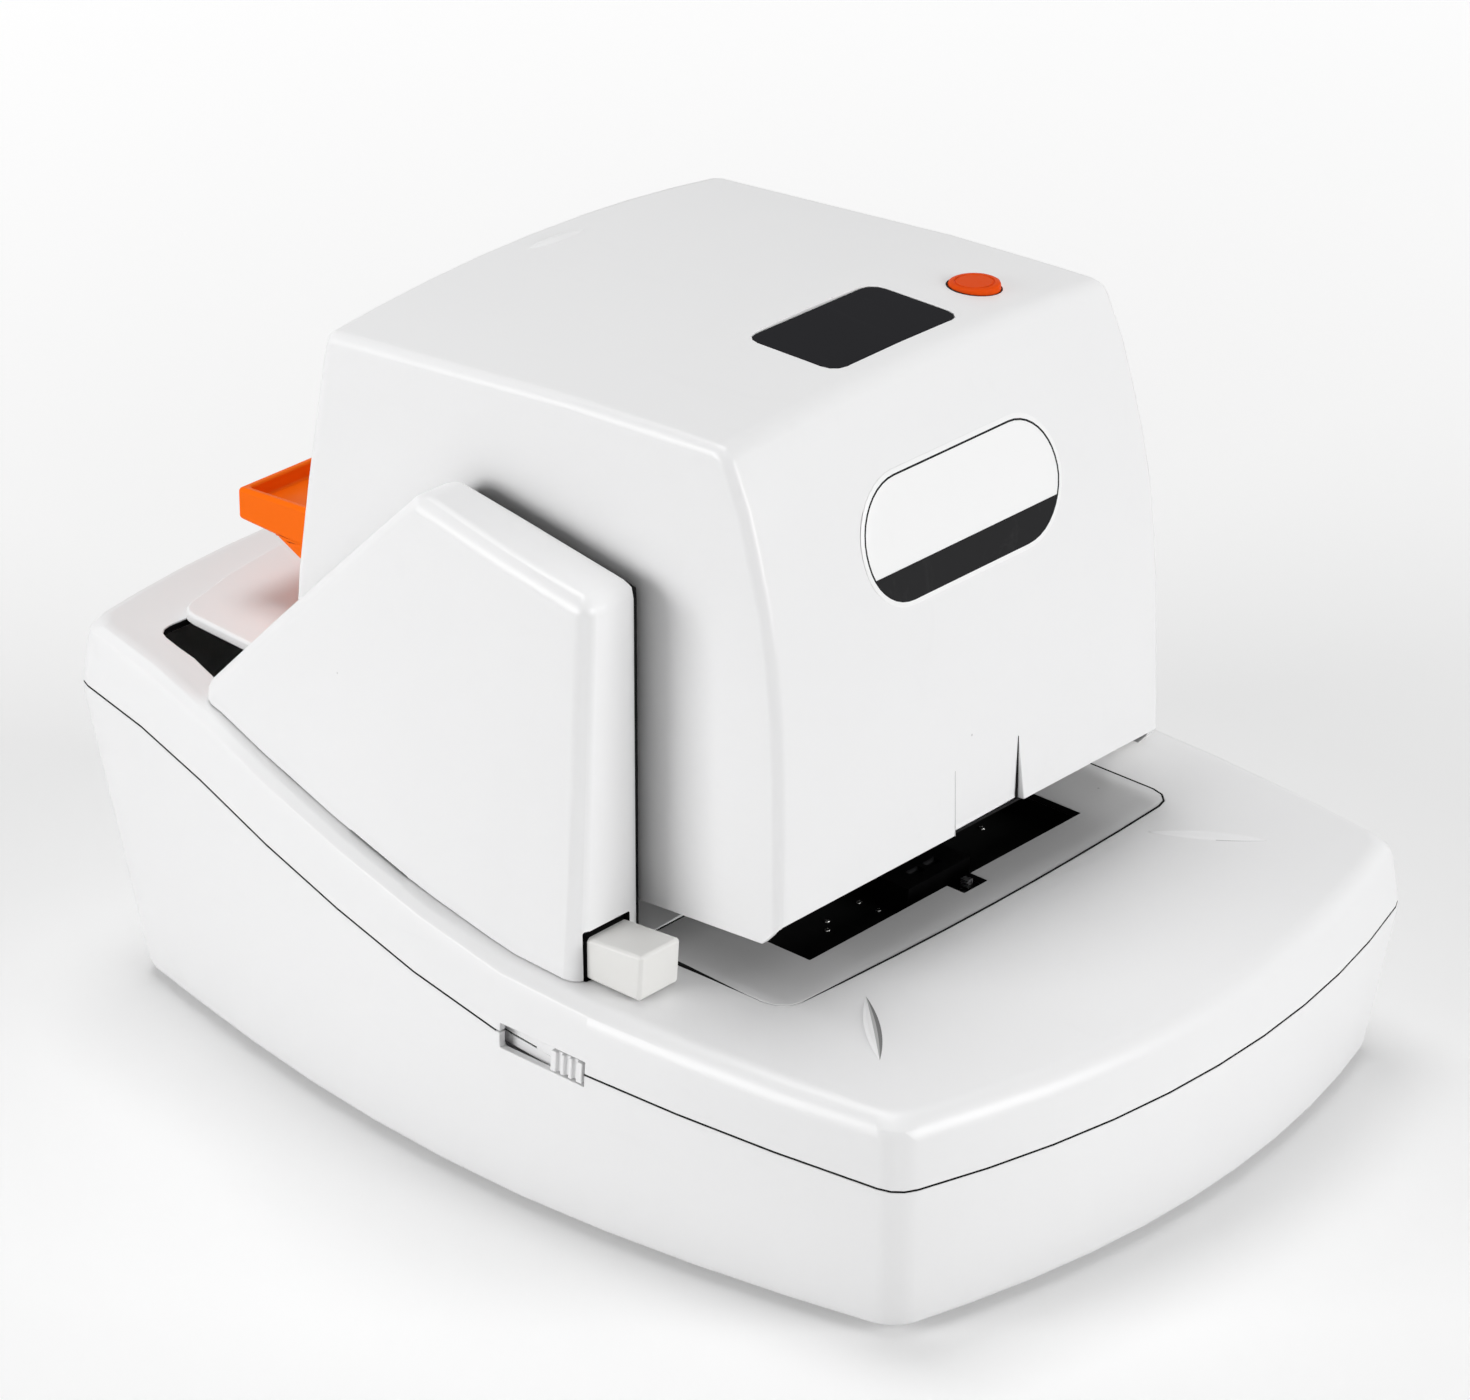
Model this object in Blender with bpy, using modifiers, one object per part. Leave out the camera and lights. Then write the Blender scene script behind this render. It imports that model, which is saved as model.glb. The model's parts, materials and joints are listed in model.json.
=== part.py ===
# Electric stapler: a wide base with a paper table, two shrouds and a head that nods.
# X is to the user's right, the user stands at -Y, Z is up. All lengths are in metres.
import bpy
import bmesh
from math import sin, cos, tan, atan, pi, radians, hypot
from mathutils import Vector, Matrix

# Fits shared by all pieces
seat_gap = 0.0003
overrun = 0.004
plastic_wall = 0.0026
weld_distance = 0.00008

# Gears, which set how wide and how high the head is
gear_module = 0.00125
pinion_teeth = 12
idler_teeth = 30
crank_teeth = 48
idler_angle = radians(160)
pinion_angle = radians(240)
motor_radius = 0.018
staple_x = 0.005
head_side_room = 0.020665
idler_reach = (crank_teeth + idler_teeth) * gear_module / 2
pinion_reach = (idler_teeth + pinion_teeth) * gear_module / 2
pinion_x = staple_x + idler_reach * cos(idler_angle) + pinion_reach * cos(pinion_angle)
head_half_width = motor_radius - pinion_x + head_side_room

# Plan of the base at the seam between its two halves
shroud_gap = 0.0044
shroud_inner_x = head_half_width + shroud_gap
shroud_foot_width = 0.0312
shroud_inset = 0.0075
base_front_y = -0.191
base_rear_y = 0.191
front_bow = 0.021
rear_bow = 0.011
front_side_bow = 0.0107
rear_side_bow = 0.0413
front_corner_y = base_front_y + front_bow
rear_corner_y = base_rear_y - rear_bow
widest_y = -0.050
widest_half_width = shroud_inner_x + shroud_foot_width + shroud_inset
front_corner_half_width = widest_half_width - front_side_bow
rear_corner_half_width = widest_half_width - rear_side_bow
front_corner_length = 0.0065
rear_corner_length = 0.0065
side_stations = 10
front_stations = 5
rear_stations = 4
corner_steps = 3

# Height of the seam and of the table above it
foot_height = 0.0025
seam_front_z = 0.050
seam_gap = 0.0005
table_slope = 0.067
climb_slope = 0.26
climb_start_y = -0.053
climb_full_y = -0.003
climb_end_y = 0.100
plateau_y = 0.155
case_draft = 0.15
case_floor_radius = 0.003
seam_rim_height = 0.003
skirt_height = 0.014
skirt_lean = 0.0015
shoulder_radius = 0.007
shoulder_steps = 3
table_centre_y = 0.060
table_ring_shares = (0.89, 0.72, 0.44, 0.12)

# Throat insert, seated flush in the table
insert_front_y = -0.1045
insert_rear_y = -0.047
insert_side_gap = 0.002
insert_half_width = shroud_inner_x - insert_side_gap
insert_bow = 0.0026
insert_thickness = 0.0024
insert_corner_radius = 0.008
insert_bow_steps = 8
slot_front_y = -0.0903
slot_rear_y = -0.0600
slot_half_width = 0.066
notch_width = 0.0114
notch_depth = 0.0065

# Black tray under the insert, and what it holds
carrier_lip = 0.005
carrier_depth = 0.014
pocket_depth = 0.008
pocket_margin = 0.004
anvil_width = 0.030
anvil_length = 0.012
anvil_sink = 0.0006
clinch_groove_length = 0.0058
clinch_groove_radius = 0.0016
clinch_groove_spread = 0.0040
lever_thickness = 0.0025
lever_hub_radius = 0.0019
lever_hub_depth = 0.0080
lever_hub_inset = 0.0030
lever_rise = 0.0015
lever_arm_share = 0.7
lever_pin_radius = 0.0010
lever_pin_length = 0.016
switch_size = (0.012, 0.006, 0.0052)
switch_offset = 0.0105
switch_edge_radius = 0.0006

# Paper stops, their cross bar and the slider knob on the left side
stop_side_gap = 0.0073
stop_width = 0.0177
stop_inner_x = shroud_inner_x + stop_side_gap
stop_outer_x = stop_inner_x + stop_width
stop_front_y = -0.0725
stop_length = 0.0315
stop_height = 0.0149
stop_lift = 0.0006
stop_edge_radius = 0.0012
stop_window_gap = 0.0025
stop_travel = 0.019
stop_leg_width = 0.008
stop_leg_length = 0.008
stop_leg_drop = 0.021
bar_height = 0.0057
bar_end_inset = 0.0015
knob_front_y = -0.0635
knob_length = 0.012
knob_height = 0.0066
knob_below_table = 0.021
knob_arm_depth = 0.0047
knob_rib_count = 4
knob_rib_depth = 0.0012
knob_slot_clearance = 0.0008

# Shrouds beside the head
shroud_front_y = -0.053
shroud_peak_y = 0.0154
shroud_tail_y = 0.114
shroud_front_height = 0.11775
shroud_peak_height = 0.1203
shroud_tail_height = 0.0041
shroud_lean = 0.062
shroud_root_depth = 0.020
shroud_wall = 0.0025
shroud_edge_radius = 0.007
cavity_roof_share = 1.4
shroud_hole_clearance = 0.0010

# Steel frame in the base
chassis_z = 0.014
chassis_thickness = 0.0016
chassis_side_margin = 0.0013
chassis_narrow_margin = 0.0284
chassis_narrow_half_width = rear_corner_half_width - chassis_narrow_margin
chassis_front_margin = 0.020
chassis_rear_margin = 0.026
chassis_front_y = front_corner_y + chassis_front_margin
chassis_rear_y = rear_corner_y - chassis_rear_margin
chassis_shoulder_ys = (-0.060, 0.080)
chassis_flange = 0.010
side_plate_gap = 0.0007
side_plate_x = shroud_inner_x + shroud_wall + side_plate_gap
side_plate_thickness = 0.0025
chassis_half_width = side_plate_x + side_plate_thickness + chassis_side_margin
side_plate_front_y = 0.020
side_plate_rear_y = 0.084
side_plate_eye_drop = 0.028
side_plate_eye_radius = 0.0125
side_plate_eye_steps = 8
pivot_y = 0.060
pivot_radius = 0.005
pivot_rail_gap = 0.001
pivot_overhang = 0.0004
nod_degrees = 5.2
bush_wall = 0.0016
bush_flange = 0.0012
bush_flange_radius = 0.0095

# Lift spring and its post
lift_x = 0.060
lift_y = 0.020
lift_post_radius = 0.005
lift_spring_radius = 0.0062
lift_wire_radius = 0.0008
lift_spring_turns = 4
lift_turn_points = 9
lift_post_head_radius = 0.0082
lift_post_head_height = 0.002
lift_post_sink = 0.010

# Electrics in the base
board_thickness = 0.0016
board_standoff = 0.004
main_board_size = (0.120, 0.046)
main_board_margin = 0.005
main_board_y = chassis_front_y + main_board_margin + main_board_size[1] / 2
supply_size = (0.090, 0.050)
supply_margin = 0.003
supply_y = chassis_rear_y - supply_margin - supply_size[1] / 2
transformer_size = (0.034, 0.030, 0.026)
capacitor_radius = 0.008
capacitor_height = 0.022
capacitor_gap = 0.003
chip_height = 0.003
chip_size = 0.018
chip_place_shares = (-0.6, 0.1, 0.6)
inlet_width = 0.050
inlet_height = 0.024
inlet_length = 0.024
inlet_z = 0.036
inlet_face_setback = 0.008
inlet_face_y = base_rear_y - inlet_face_setback
inlet_wall = 0.002
inlet_socket_width = 0.024
inlet_socket_depth = 0.016
inlet_pin_size = (0.002, 0.012, 0.006)
inlet_pin_spread = 0.007
rocker_width = 0.013
rocker_height = 0.019
rocker_depth = 0.006
rocker_well_depth = 0.014
rocker_degrees = 14.0
rocker_end_gap = 0.0011
rocker_belly_depth = 0.0044
rocker_belly_height = 0.0031
rocker_belly_rise = 0.0031

# Rear cover plate over the service opening
rear_cover_front_half_width = 0.0861
rear_cover_corner_half_width = 0.0763
rear_cover_front_y = 0.094
rear_cover_rear_inset = 0.028
rear_cover_bow = 0.0135
rear_cover_corner_length = 0.0060
rear_cover_thickness = 0.0040
rear_cover_edge_radius = 0.0012
rear_cover_rows = 6
service_stations = 3
service_inset = 0.0182
service_front_y = 0.112
service_rear_margin = 0.027
service_corner_length = 0.0050
service_rear_y = rear_corner_y - service_rear_margin

# Feet
foot_radius = 0.009
foot_front_setback = 0.030
foot_rear_setback = 0.050
foot_front_y = front_corner_y + foot_front_setback
foot_rear_y = rear_corner_y - foot_rear_setback
foot_front_margin = 0.033
foot_rear_margin = 0.0224

# Head housing
head_side_draft = 0.0024
head_top_half_width = head_half_width - head_side_draft
throat_gap = 0.01694
head_lip_height = 0.0065
head_front_y = -0.1005
head_rear_y = 0.091
head_top_room = 0.0352
head_peak_y = -0.020
head_crown = 0.0065
head_crown_run = 0.080
head_crown_front_share = 0.42
head_flat_end_y = -0.040
head_rear_rise = 0.032
head_wall = 0.0028
head_edge_radius = 0.0035
head_ridge_length = 0.0045
head_cross_steps = 8
head_ridge_share = 0.992
head_front_shares = ((0.0042, 0.342), (0.0105, 0.476), (0.0204, 0.590), (0.0360, 0.690), (0.0557, 0.784),
                     (0.0778, 0.878))
head_front_ridge_share = (0.1175, 0.992)
head_top_front_share = (0.2167, 0.996)
head_rear_ridge_share = (0.9164, 0.985)
head_rear_shares = ((0.9358, 0.858), (0.9624, 0.657), (0.9854, 0.456))
scoop_width = 0.0305
scoop_height = 0.022
scoop_depth = 0.0030
scoop_wall = 0.0020
window_width = 0.059
window_length = 0.0335
window_thickness = 0.0020
window_y = -0.0525
window_tilt = 0.060
window_corner_radius = 0.005
window_sink = 0.0008
display_board_drop = 0.0115
button_x = 0.0517
button_y = -0.0571
button_radius = 0.0080
button_height = 0.0065
button_stand = 0.0026
button_travel = 0.0020
button_bezel = 0.0016
magazine_door_height = 0.024

# Head frame
head_plate_thickness = 0.002
head_plate_recess = 0.003
head_plate_rear_y = 0.040
frame_thickness = 0.0025
gear_plate_y = -0.0645
gear_plate_side_gap = 0.0126
gear_plate_left_x = gear_plate_side_gap - head_half_width
gear_plate_right_x = 0.045
gear_plate_rise = 0.030
cheek_spread = 0.0250
cheek_rear_y = 0.078
cheek_front_rise = 0.012
cheek_rear_height = 0.024
cheek_lug_drop = 0.0088
strap_length = 0.008
strap_height = 0.004

# Staple path in the head
nose_half_width = 0.012
nose_front_y = -0.088
nose_rear_y = -0.0755
nose_lift = 0.0005
nose_top_gap = 0.0048
nose_ear_width = 0.0022
staple_y = -0.080
raceway_half_width = 0.0066
raceway_half_gap = 0.00085
magazine_clearance = 0.00125
rail_thickness = 0.0016
rail_lip_height = 0.006
rail_lip_thickness = 0.0010
rail_tab_length = 0.010
rail_tab_ys = (-0.050, 0.020)
rail_rear_y = 0.085
channel_half_width = 0.0080
channel_wall = 0.0012
channel_height = 0.0113
channel_rear_y = 0.0890
channel_front_gap = 0.0003
pusher_length = 0.025
pusher_height = 0.0085
pusher_side_gap = 0.0005

# Orange magazine handle
handle_half_width = 0.061
handle_front_y = 0.0945
handle_rear_y = 0.146
handle_height = 0.0365
handle_rim_height = 0.0105
handle_root_height = 0.005
handle_wall = 0.0030
handle_tray_depth = 0.0050
handle_edge_radius = 0.0012
handle_neck_half_width = 0.0076
handle_belly_shares = ((0.16, 0.20), (0.45, 0.86))

# Drive train
gear_root_share = 1.2
gear_tip_share = 0.75
tooth_root_share = 0.30
tooth_tip_share = 0.11
gear_width = 0.008
gear_front_y = -0.074
crank_throw = 0.023
crank_pin_radius = 0.0035
crank_shaft_radius = 0.004
idler_shaft_radius = 0.003
shaft_play = 0.0003
motor_length = 0.056
motor_boss_radius = 0.006
motor_boss_length = 0.0022
motor_shaft_radius = 0.0015
shaft_hole_radius = 0.0022
gear_lightening_radius = 0.006
gear_lightening_place_share = 0.60
gear_lightening_count = 4

# Driver
ram_half_width = 0.031
ram_height = 0.0202
ram_thickness = 0.006
yoke_clearance = 0.0004
blade_half_width = 0.00625
blade_thickness = 0.0010
blade_entry = 0.003
driver_stroke = crank_throw * 2
round_sides = 24

parts = bpy.data.collections.new("electric_stapler")
helpers = bpy.data.collections.new("electric_stapler_cutters")


def clear_scene():
    for item in list(bpy.data.objects):
        bpy.data.objects.remove(item, do_unlink=True)
    bpy.context.scene.collection.children.link(parts)
    bpy.context.scene.collection.children.link(helpers)


def material(name, colour, roughness, metallic=0.0):
    found = bpy.data.materials.get(name)
    if found:
        return found
    made = bpy.data.materials.new(name)
    made.use_nodes = True
    shader = made.node_tree.nodes["Principled BSDF"]
    shader.inputs["Base Color"].default_value = (*colour, 1.0)
    shader.inputs["Roughness"].default_value = roughness
    shader.inputs["Metallic"].default_value = metallic
    made.diffuse_color = (*colour, 1.0)
    return made


def white_plastic():
    return material("white_plastic", (0.86, 0.86, 0.87), 0.42)


def black_plastic():
    return material("black_plastic", (0.02, 0.02, 0.022), 0.45)


def window_plastic():
    return material("window_plastic", (0.012, 0.012, 0.014), 0.12)


def orange_plastic():
    return material("orange_plastic", (0.92, 0.18, 0.02), 0.38)


def steel():
    return material("steel", (0.62, 0.63, 0.65), 0.35, 1.0)


def brass():
    return material("brass", (0.78, 0.58, 0.28), 0.35, 1.0)


def board_green():
    return material("board_green", (0.03, 0.22, 0.09), 0.55)


def rubber():
    return material("rubber", (0.05, 0.05, 0.055), 0.85)


def gear_plastic():
    return material("gear_plastic", (0.75, 0.74, 0.68), 0.5)


def add_object(name, mesh, look=None, parent=None, helper=False):
    made = bpy.data.objects.new(name, mesh)
    if helper:
        helpers.objects.link(made)
        made.hide_render = True
        made.display_type = "WIRE"
    else:
        parts.objects.link(made)
        made.data.materials.append(look)
    if parent is not None:
        made.parent = parent
    return made


def add_empty(name, place, tilt=0.0, parent=None):
    made = bpy.data.objects.new(name, None)
    helpers.objects.link(made)
    made.location = place
    made.rotation_euler = (tilt, 0.0, 0.0)
    if parent is not None:
        made.parent = parent
    return made


def finish(work, name):
    bmesh.ops.recalc_face_normals(work, faces=work.faces)
    mesh = bpy.data.meshes.new(name)
    work.to_mesh(mesh)
    work.free()
    return mesh


def box_mesh(name, x_span, y_span, z_span):
    work = bmesh.new()
    bmesh.ops.create_cube(work, size=1.0)
    for vert in work.verts:
        for axis, span in enumerate((x_span, y_span, z_span)):
            vert.co[axis] = span[0] if vert.co[axis] < 0 else span[1]
    return finish(work, name)


def cylinder_mesh(name, radius, start, end, sides=round_sides, end_radius=None):
    start, end = Vector(start), Vector(end)
    work = bmesh.new()
    bmesh.ops.create_cone(work, cap_ends=True, segments=sides, radius1=radius,
                          radius2=radius if end_radius is None else end_radius,
                          depth=(end - start).length)
    turn = Vector((0, 0, 1)).rotation_difference(end - start).to_matrix().to_4x4()
    bmesh.ops.transform(work, matrix=Matrix.Translation((start + end) / 2) @ turn, verts=work.verts)
    return finish(work, name)


# A flat outline pushed along one axis; its points are in the two other axes, in order.
def prism_mesh(name, outline, axis, span):
    work = bmesh.new()
    others = [index for index in range(3) if index != axis]
    corners = []
    for first, second in outline:
        place = [0.0, 0.0, 0.0]
        place[axis] = span[0]
        place[others[0]], place[others[1]] = first, second
        corners.append(work.verts.new(place))
    face = work.faces.new(corners)
    pushed = bmesh.ops.extrude_face_region(work, geom=[face])
    shift = Vector((0, 0, 0))
    shift[axis] = span[1] - span[0]
    moved = [item for item in pushed["geom"] if isinstance(item, bmesh.types.BMVert)]
    bmesh.ops.translate(work, vec=shift, verts=moved)
    return finish(work, name)


def box(name, x_span, y_span, z_span, look=None, parent=None, helper=False):
    return add_object(name, box_mesh(name, x_span, y_span, z_span), look, parent, helper)


def cylinder(name, radius, start, end, look=None, parent=None, helper=False, sides=round_sides):
    made = add_object(name, cylinder_mesh(name, radius, start, end, sides), look, parent, helper)
    made.data.shade_smooth()
    made.data.set_sharp_from_angle(angle=radians(40))
    return made


def prism(name, outline, axis, span, look=None, parent=None, helper=False):
    return add_object(name, prism_mesh(name, outline, axis, span), look, parent, helper)


def combine(target, other, operation):
    step = target.modifiers.new(other.name, "BOOLEAN")
    step.operation = operation
    step.solver = "EXACT"
    step.object = other
    return target


def cut(target, *cutters):
    for cutter in cutters:
        combine(target, cutter, "DIFFERENCE")
    return target


def join(target, *pieces):
    for piece in pieces:
        combine(target, piece, "UNION")
    return target


def round_edges(target, radius, steps=3, above=35.0):
    step = target.modifiers.new("rounded_edges", "BEVEL")
    step.width = radius
    step.segments = steps
    step.limit_method = "ANGLE"
    step.angle_limit = radians(above)
    return target


def weld_points(target):
    step = target.modifiers.new("weld", "WELD")
    step.merge_threshold = weld_distance
    return target


def thicken(target, wall):
    step = target.modifiers.new("wall", "SOLIDIFY")
    step.thickness = wall
    step.offset = -1.0
    step.use_even_offset = True
    step.use_rim = True
    return target


def span_about(centre, half):
    return (centre - half, centre + half)


# Half width of the base at a place along its depth, at the seam.
def half_width(y):
    if y < widest_y:
        lost = widest_half_width - front_corner_half_width
        return widest_half_width - lost * ((widest_y - y) / (widest_y - front_corner_y)) ** 2
    lost = widest_half_width - rear_corner_half_width
    return widest_half_width - lost * ((y - widest_y) / (rear_corner_y - widest_y)) ** 2


def seam_slope(y):
    if y <= climb_start_y:
        return table_slope
    if y <= climb_full_y:
        share = (y - climb_start_y) / (climb_full_y - climb_start_y)
        return table_slope + share * (climb_slope - table_slope)
    if y <= climb_end_y:
        return climb_slope
    if y <= plateau_y:
        return climb_slope * (plateau_y - y) / (plateau_y - climb_end_y)
    return 0.0


# The slope is made of straight stretches, so its sum over each stretch is exact.
def seam_z(y):
    height = seam_front_z
    marks = [base_front_y, climb_start_y, climb_full_y, climb_end_y, plateau_y]
    if y <= marks[0]:
        return height + (y - marks[0]) * table_slope
    for start, end in zip(marks, marks[1:]):
        stop = min(y, end)
        if stop <= start:
            break
        height += (stop - start) * (seam_slope(start) + seam_slope(stop)) / 2
    return height


cover_height = skirt_height + shoulder_radius


def table_z(y):
    return seam_z(y) + cover_height


# Heights in the shroud and the head, which follow from the table and the rear cover.
shroud_front_z = table_z(shroud_front_y) + shroud_front_height
shroud_peak_z = table_z(shroud_peak_y) + shroud_peak_height
shroud_tail_z = table_z(shroud_tail_y) + shroud_tail_height
rear_cover_bottom_z = table_z(plateau_y) + seat_gap
channel_bottom_z = rear_cover_bottom_z + rear_cover_thickness + magazine_clearance
rail_bottom_z = channel_bottom_z - seat_gap - rail_thickness
channel_top_z = channel_bottom_z + channel_height
pivot_z = rail_bottom_z - pivot_rail_gap - pivot_radius
nose_top_z = channel_top_z + nose_top_gap
ram_bottom_z = nose_top_z + driver_stroke + seat_gap * 3
crank_z = ram_bottom_z + ram_height / 2 - crank_throw
gear_plate_top_z = crank_z + gear_plate_rise
head_bottom_z = table_z(head_front_y) + throat_gap
head_lip_z = head_bottom_z + head_lip_height
head_rear_bottom_z = head_bottom_z + head_rear_rise
head_top_z = gear_plate_top_z + head_top_room
nose_bottom_z = head_bottom_z + nose_lift


def front_edge_y(x):
    return base_front_y + (front_corner_y - base_front_y) * (x / front_corner_half_width) ** 2


def rear_edge_y(x):
    return base_rear_y - (base_rear_y - rear_corner_y) * (x / rear_corner_half_width) ** 2


def corner_arc(before, corner, after, steps):
    points = []
    for step in range(steps + 1):
        share = step / steps
        place = (1 - share) ** 2 * before + 2 * share * (1 - share) * corner + share ** 2 * after
        points.append(place)
    return points


# Places on a rounded corner, which all move inward together so that the corner stays as round.
def corner_places(before, corner, after):
    sides = [(corner - before).normalized(), (after - corner).normalized()]
    inward = [Vector((-side.y, side.x)) for side in sides]
    shift = (inward[0] + inward[1]) / (1 + inward[0].dot(inward[1]))
    return [(place, shift) for place in corner_arc(before, corner, after, corner_steps)]


def edge_places(places):
    pairs = []
    for before, place, after in zip(places, places[1:], places[2:]):
        along = (after - before).normalized()
        pairs.append((place, Vector((-along.y, along.x))))
    return pairs


# Right half of the base's plan, from the front middle to the rear middle, then its mirror.
# Each place comes with the way it moves when the outline is drawn inward.
def base_outline():
    front_cut = front_corner_half_width - front_corner_length
    rear_cut = rear_corner_half_width - rear_corner_length
    side_start = front_corner_y + front_corner_length
    side_end = rear_corner_y - rear_corner_length
    front_steps = [front_cut * step / front_stations for step in range(-1, front_stations + 1)]
    front = [Vector((x, front_edge_y(x))) for x in front_steps]
    side = []
    for step in range(side_stations + 1):
        y = side_start + (side_end - side_start) * step / side_stations
        side.append(Vector((half_width(y), y)))
    rear_steps = [rear_cut * (1 - step / rear_stations) for step in range(rear_stations + 2)]
    rear = [Vector((x, rear_edge_y(x))) for x in rear_steps]
    right = edge_places(front)
    right += corner_places(front[-1], Vector((front_corner_half_width, front_corner_y)), side[0])
    right += edge_places(side)
    right += corner_places(side[-1], Vector((rear_corner_half_width, rear_corner_y)), rear[0])
    right += edge_places(rear)
    left = [(Vector((-place.x, place.y)), Vector((-shift.x, shift.y)))
            for place, shift in reversed(right[1:-1])]
    return right + left


# The outline moved inward by a distance that may differ from place to place.
def inset_outline(outline, distances):
    return [place + shift * distance for (place, shift), distance in zip(outline, distances)]


def add_ring(work, places):
    return [work.verts.new(place) for place in places]


def skin_rings(work, rings):
    for lower, upper in zip(rings, rings[1:]):
        count = len(lower)
        for index in range(count):
            following = (index + 1) % count
            work.faces.new((lower[index], lower[following], upper[following], upper[index]))


def close_ring(work, ring):
    middle = work.verts.new(sum((vert.co for vert in ring), Vector()) / len(ring))
    for index in range(len(ring)):
        work.faces.new((ring[index - 1], ring[index], middle))


# Rings of the cover's outer surface, from the seam up and in to the middle of the table.
def cover_rings(work, raise_by=0.0):
    outline = base_outline()
    count = len(outline)
    rings = []
    start = inset_outline(outline, [-raise_by] * count)
    lowest = seam_gap / 2 if raise_by == 0.0 else -shoulder_radius
    for rise in (lowest, seam_rim_height):
        rings.append(add_ring(work, [(p.x, p.y, seam_z(p.y) + rise) for p in start]))
    for step in range(shoulder_steps + 1):
        angle = pi / 2 * step / shoulder_steps
        inset = skirt_lean + shoulder_radius * (1 - cos(angle)) - raise_by * cos(angle)
        rise = skirt_height + (shoulder_radius + raise_by) * sin(angle)
        moved = inset_outline(outline, [inset] * count)
        rings.append(add_ring(work, [(p.x, p.y, seam_z(p.y) + rise) for p in moved]))
    edge = inset_outline(outline, [skirt_lean + shoulder_radius] * count)
    centre = Vector((0.0, table_centre_y))
    for share in table_ring_shares:
        moved = [centre + (p - centre) * share for p in edge]
        rings.append(add_ring(work, [(p.x, p.y, table_z(p.y) + raise_by) for p in moved]))
    skin_rings(work, rings)
    close_ring(work, rings[-1])
    return rings


# A solid in the shape of the cover, a seat gap larger, that cuts what stands on the table.
def table_form():
    work = bmesh.new()
    rings = cover_rings(work, seat_gap)
    base = work.verts.new((0.0, table_centre_y, 0.0))
    for index in range(len(rings[0])):
        work.faces.new((rings[0][index], rings[0][index - 1], base))
    bmesh.ops.triangulate(work, faces=work.faces, quad_method="FIXED")
    return add_object("table_form", finish(work, "table_form"), helper=True)


def make_lower_case():
    outline = base_outline()
    full = [case_draft * (seam_z(place.y) - foot_height) for place, shift in outline]
    work = bmesh.new()
    rings = []
    for step in range(3):
        angle = pi / 2 * step / 2
        inset = [draft + case_floor_radius * (1 - sin(angle)) for draft in full]
        height = foot_height + case_floor_radius * (1 - cos(angle))
        rings.append(add_ring(work, [(p.x, p.y, height) for p in inset_outline(outline, inset)]))
    for drop in (seam_rim_height, seam_gap / 2):
        rings.append(add_ring(work, [(p.x, p.y, seam_z(p.y) - drop) for p, shift in outline]))
    skin_rings(work, rings)
    work.faces.new(list(reversed(rings[0])))
    case = add_object("lower_case", finish(work, "lower_case"), white_plastic())
    thicken(case, plastic_wall)
    return case


def make_table_cover():
    work = bmesh.new()
    cover_rings(work)
    bmesh.ops.triangulate(work, faces=work.faces, quad_method="FIXED")
    mesh = bpy.data.meshes.new("table_cover")
    work.to_mesh(mesh)
    work.free()
    cover = add_object("table_cover", mesh, white_plastic())
    thicken(cover, plastic_wall)
    return cover


# The insert's outline in the table's own frame, grown by a margin. Its front edge bows out.
def insert_outline(margin):
    half = insert_half_width + margin
    corner = insert_corner_radius + margin
    front = insert_front_y - slot_front_y
    rear = insert_rear_y - slot_front_y
    points = []
    for x, y in rounded_rectangle(half, (rear - front) / 2 + margin, corner):
        points.append((x, y + (front + rear) / 2))
    inner = half - corner
    for step in range(1, insert_bow_steps):
        x = -inner + 2 * inner * step / insert_bow_steps
        points.append((x, front - margin - insert_bow * (1 - (x / inner) ** 2)))
    return points


def make_throat(cover, table):
    insert = prism("throat_insert", insert_outline(0.0), 2, (-insert_thickness, 0.0),
                   white_plastic(), table)
    opening = prism("insert_hole", insert_outline(seat_gap), 2, (-carrier_depth, overrun),
                    None, table, True)
    cut(cover, opening)
    slot = box("throat_slot", span_about(0.0, slot_half_width), (0.0, slot_rear_y - slot_front_y),
               (-insert_thickness - overrun, overrun), None, table, True)
    notch = box("throat_notch", span_about(staple_x, notch_width / 2), (-notch_depth, overrun),
                (-insert_thickness - overrun, overrun), None, table, True)
    join(slot, notch)
    cut(insert, slot)


def make_anvil_carrier(table):
    top = -plastic_wall - seat_gap
    lip_front = insert_front_y - slot_front_y - insert_bow - carrier_lip
    lip_rear = insert_rear_y - slot_front_y + carrier_lip
    lip = box("carrier_lip", span_about(0.0, insert_half_width + carrier_lip),
              (lip_front, lip_rear), (top - carrier_lip, top), None, table, True)
    carrier = prism("anvil_carrier", insert_outline(-seat_gap), 2,
                    (-carrier_depth, -insert_thickness - seat_gap), black_plastic(), table)
    join(carrier, lip)
    pocket_floor = -insert_thickness - pocket_depth
    pocket = box("carrier_pocket", span_about(0.0, slot_half_width + pocket_margin),
                 (-notch_depth - pocket_margin, slot_rear_y - slot_front_y + pocket_margin),
                 (pocket_floor, overrun), None, table, True)
    cut(carrier, pocket)
    make_anvil(table, pocket_floor)
    make_trigger(table, carrier, pocket_floor)


# Where the staple lands: the nose's lower end, turned about the pivot by the nod.
def landing_y():
    angle = radians(nod_degrees)
    return pivot_y + (staple_y - pivot_y) * cos(angle) - (nose_bottom_z - pivot_z) * sin(angle)


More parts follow.
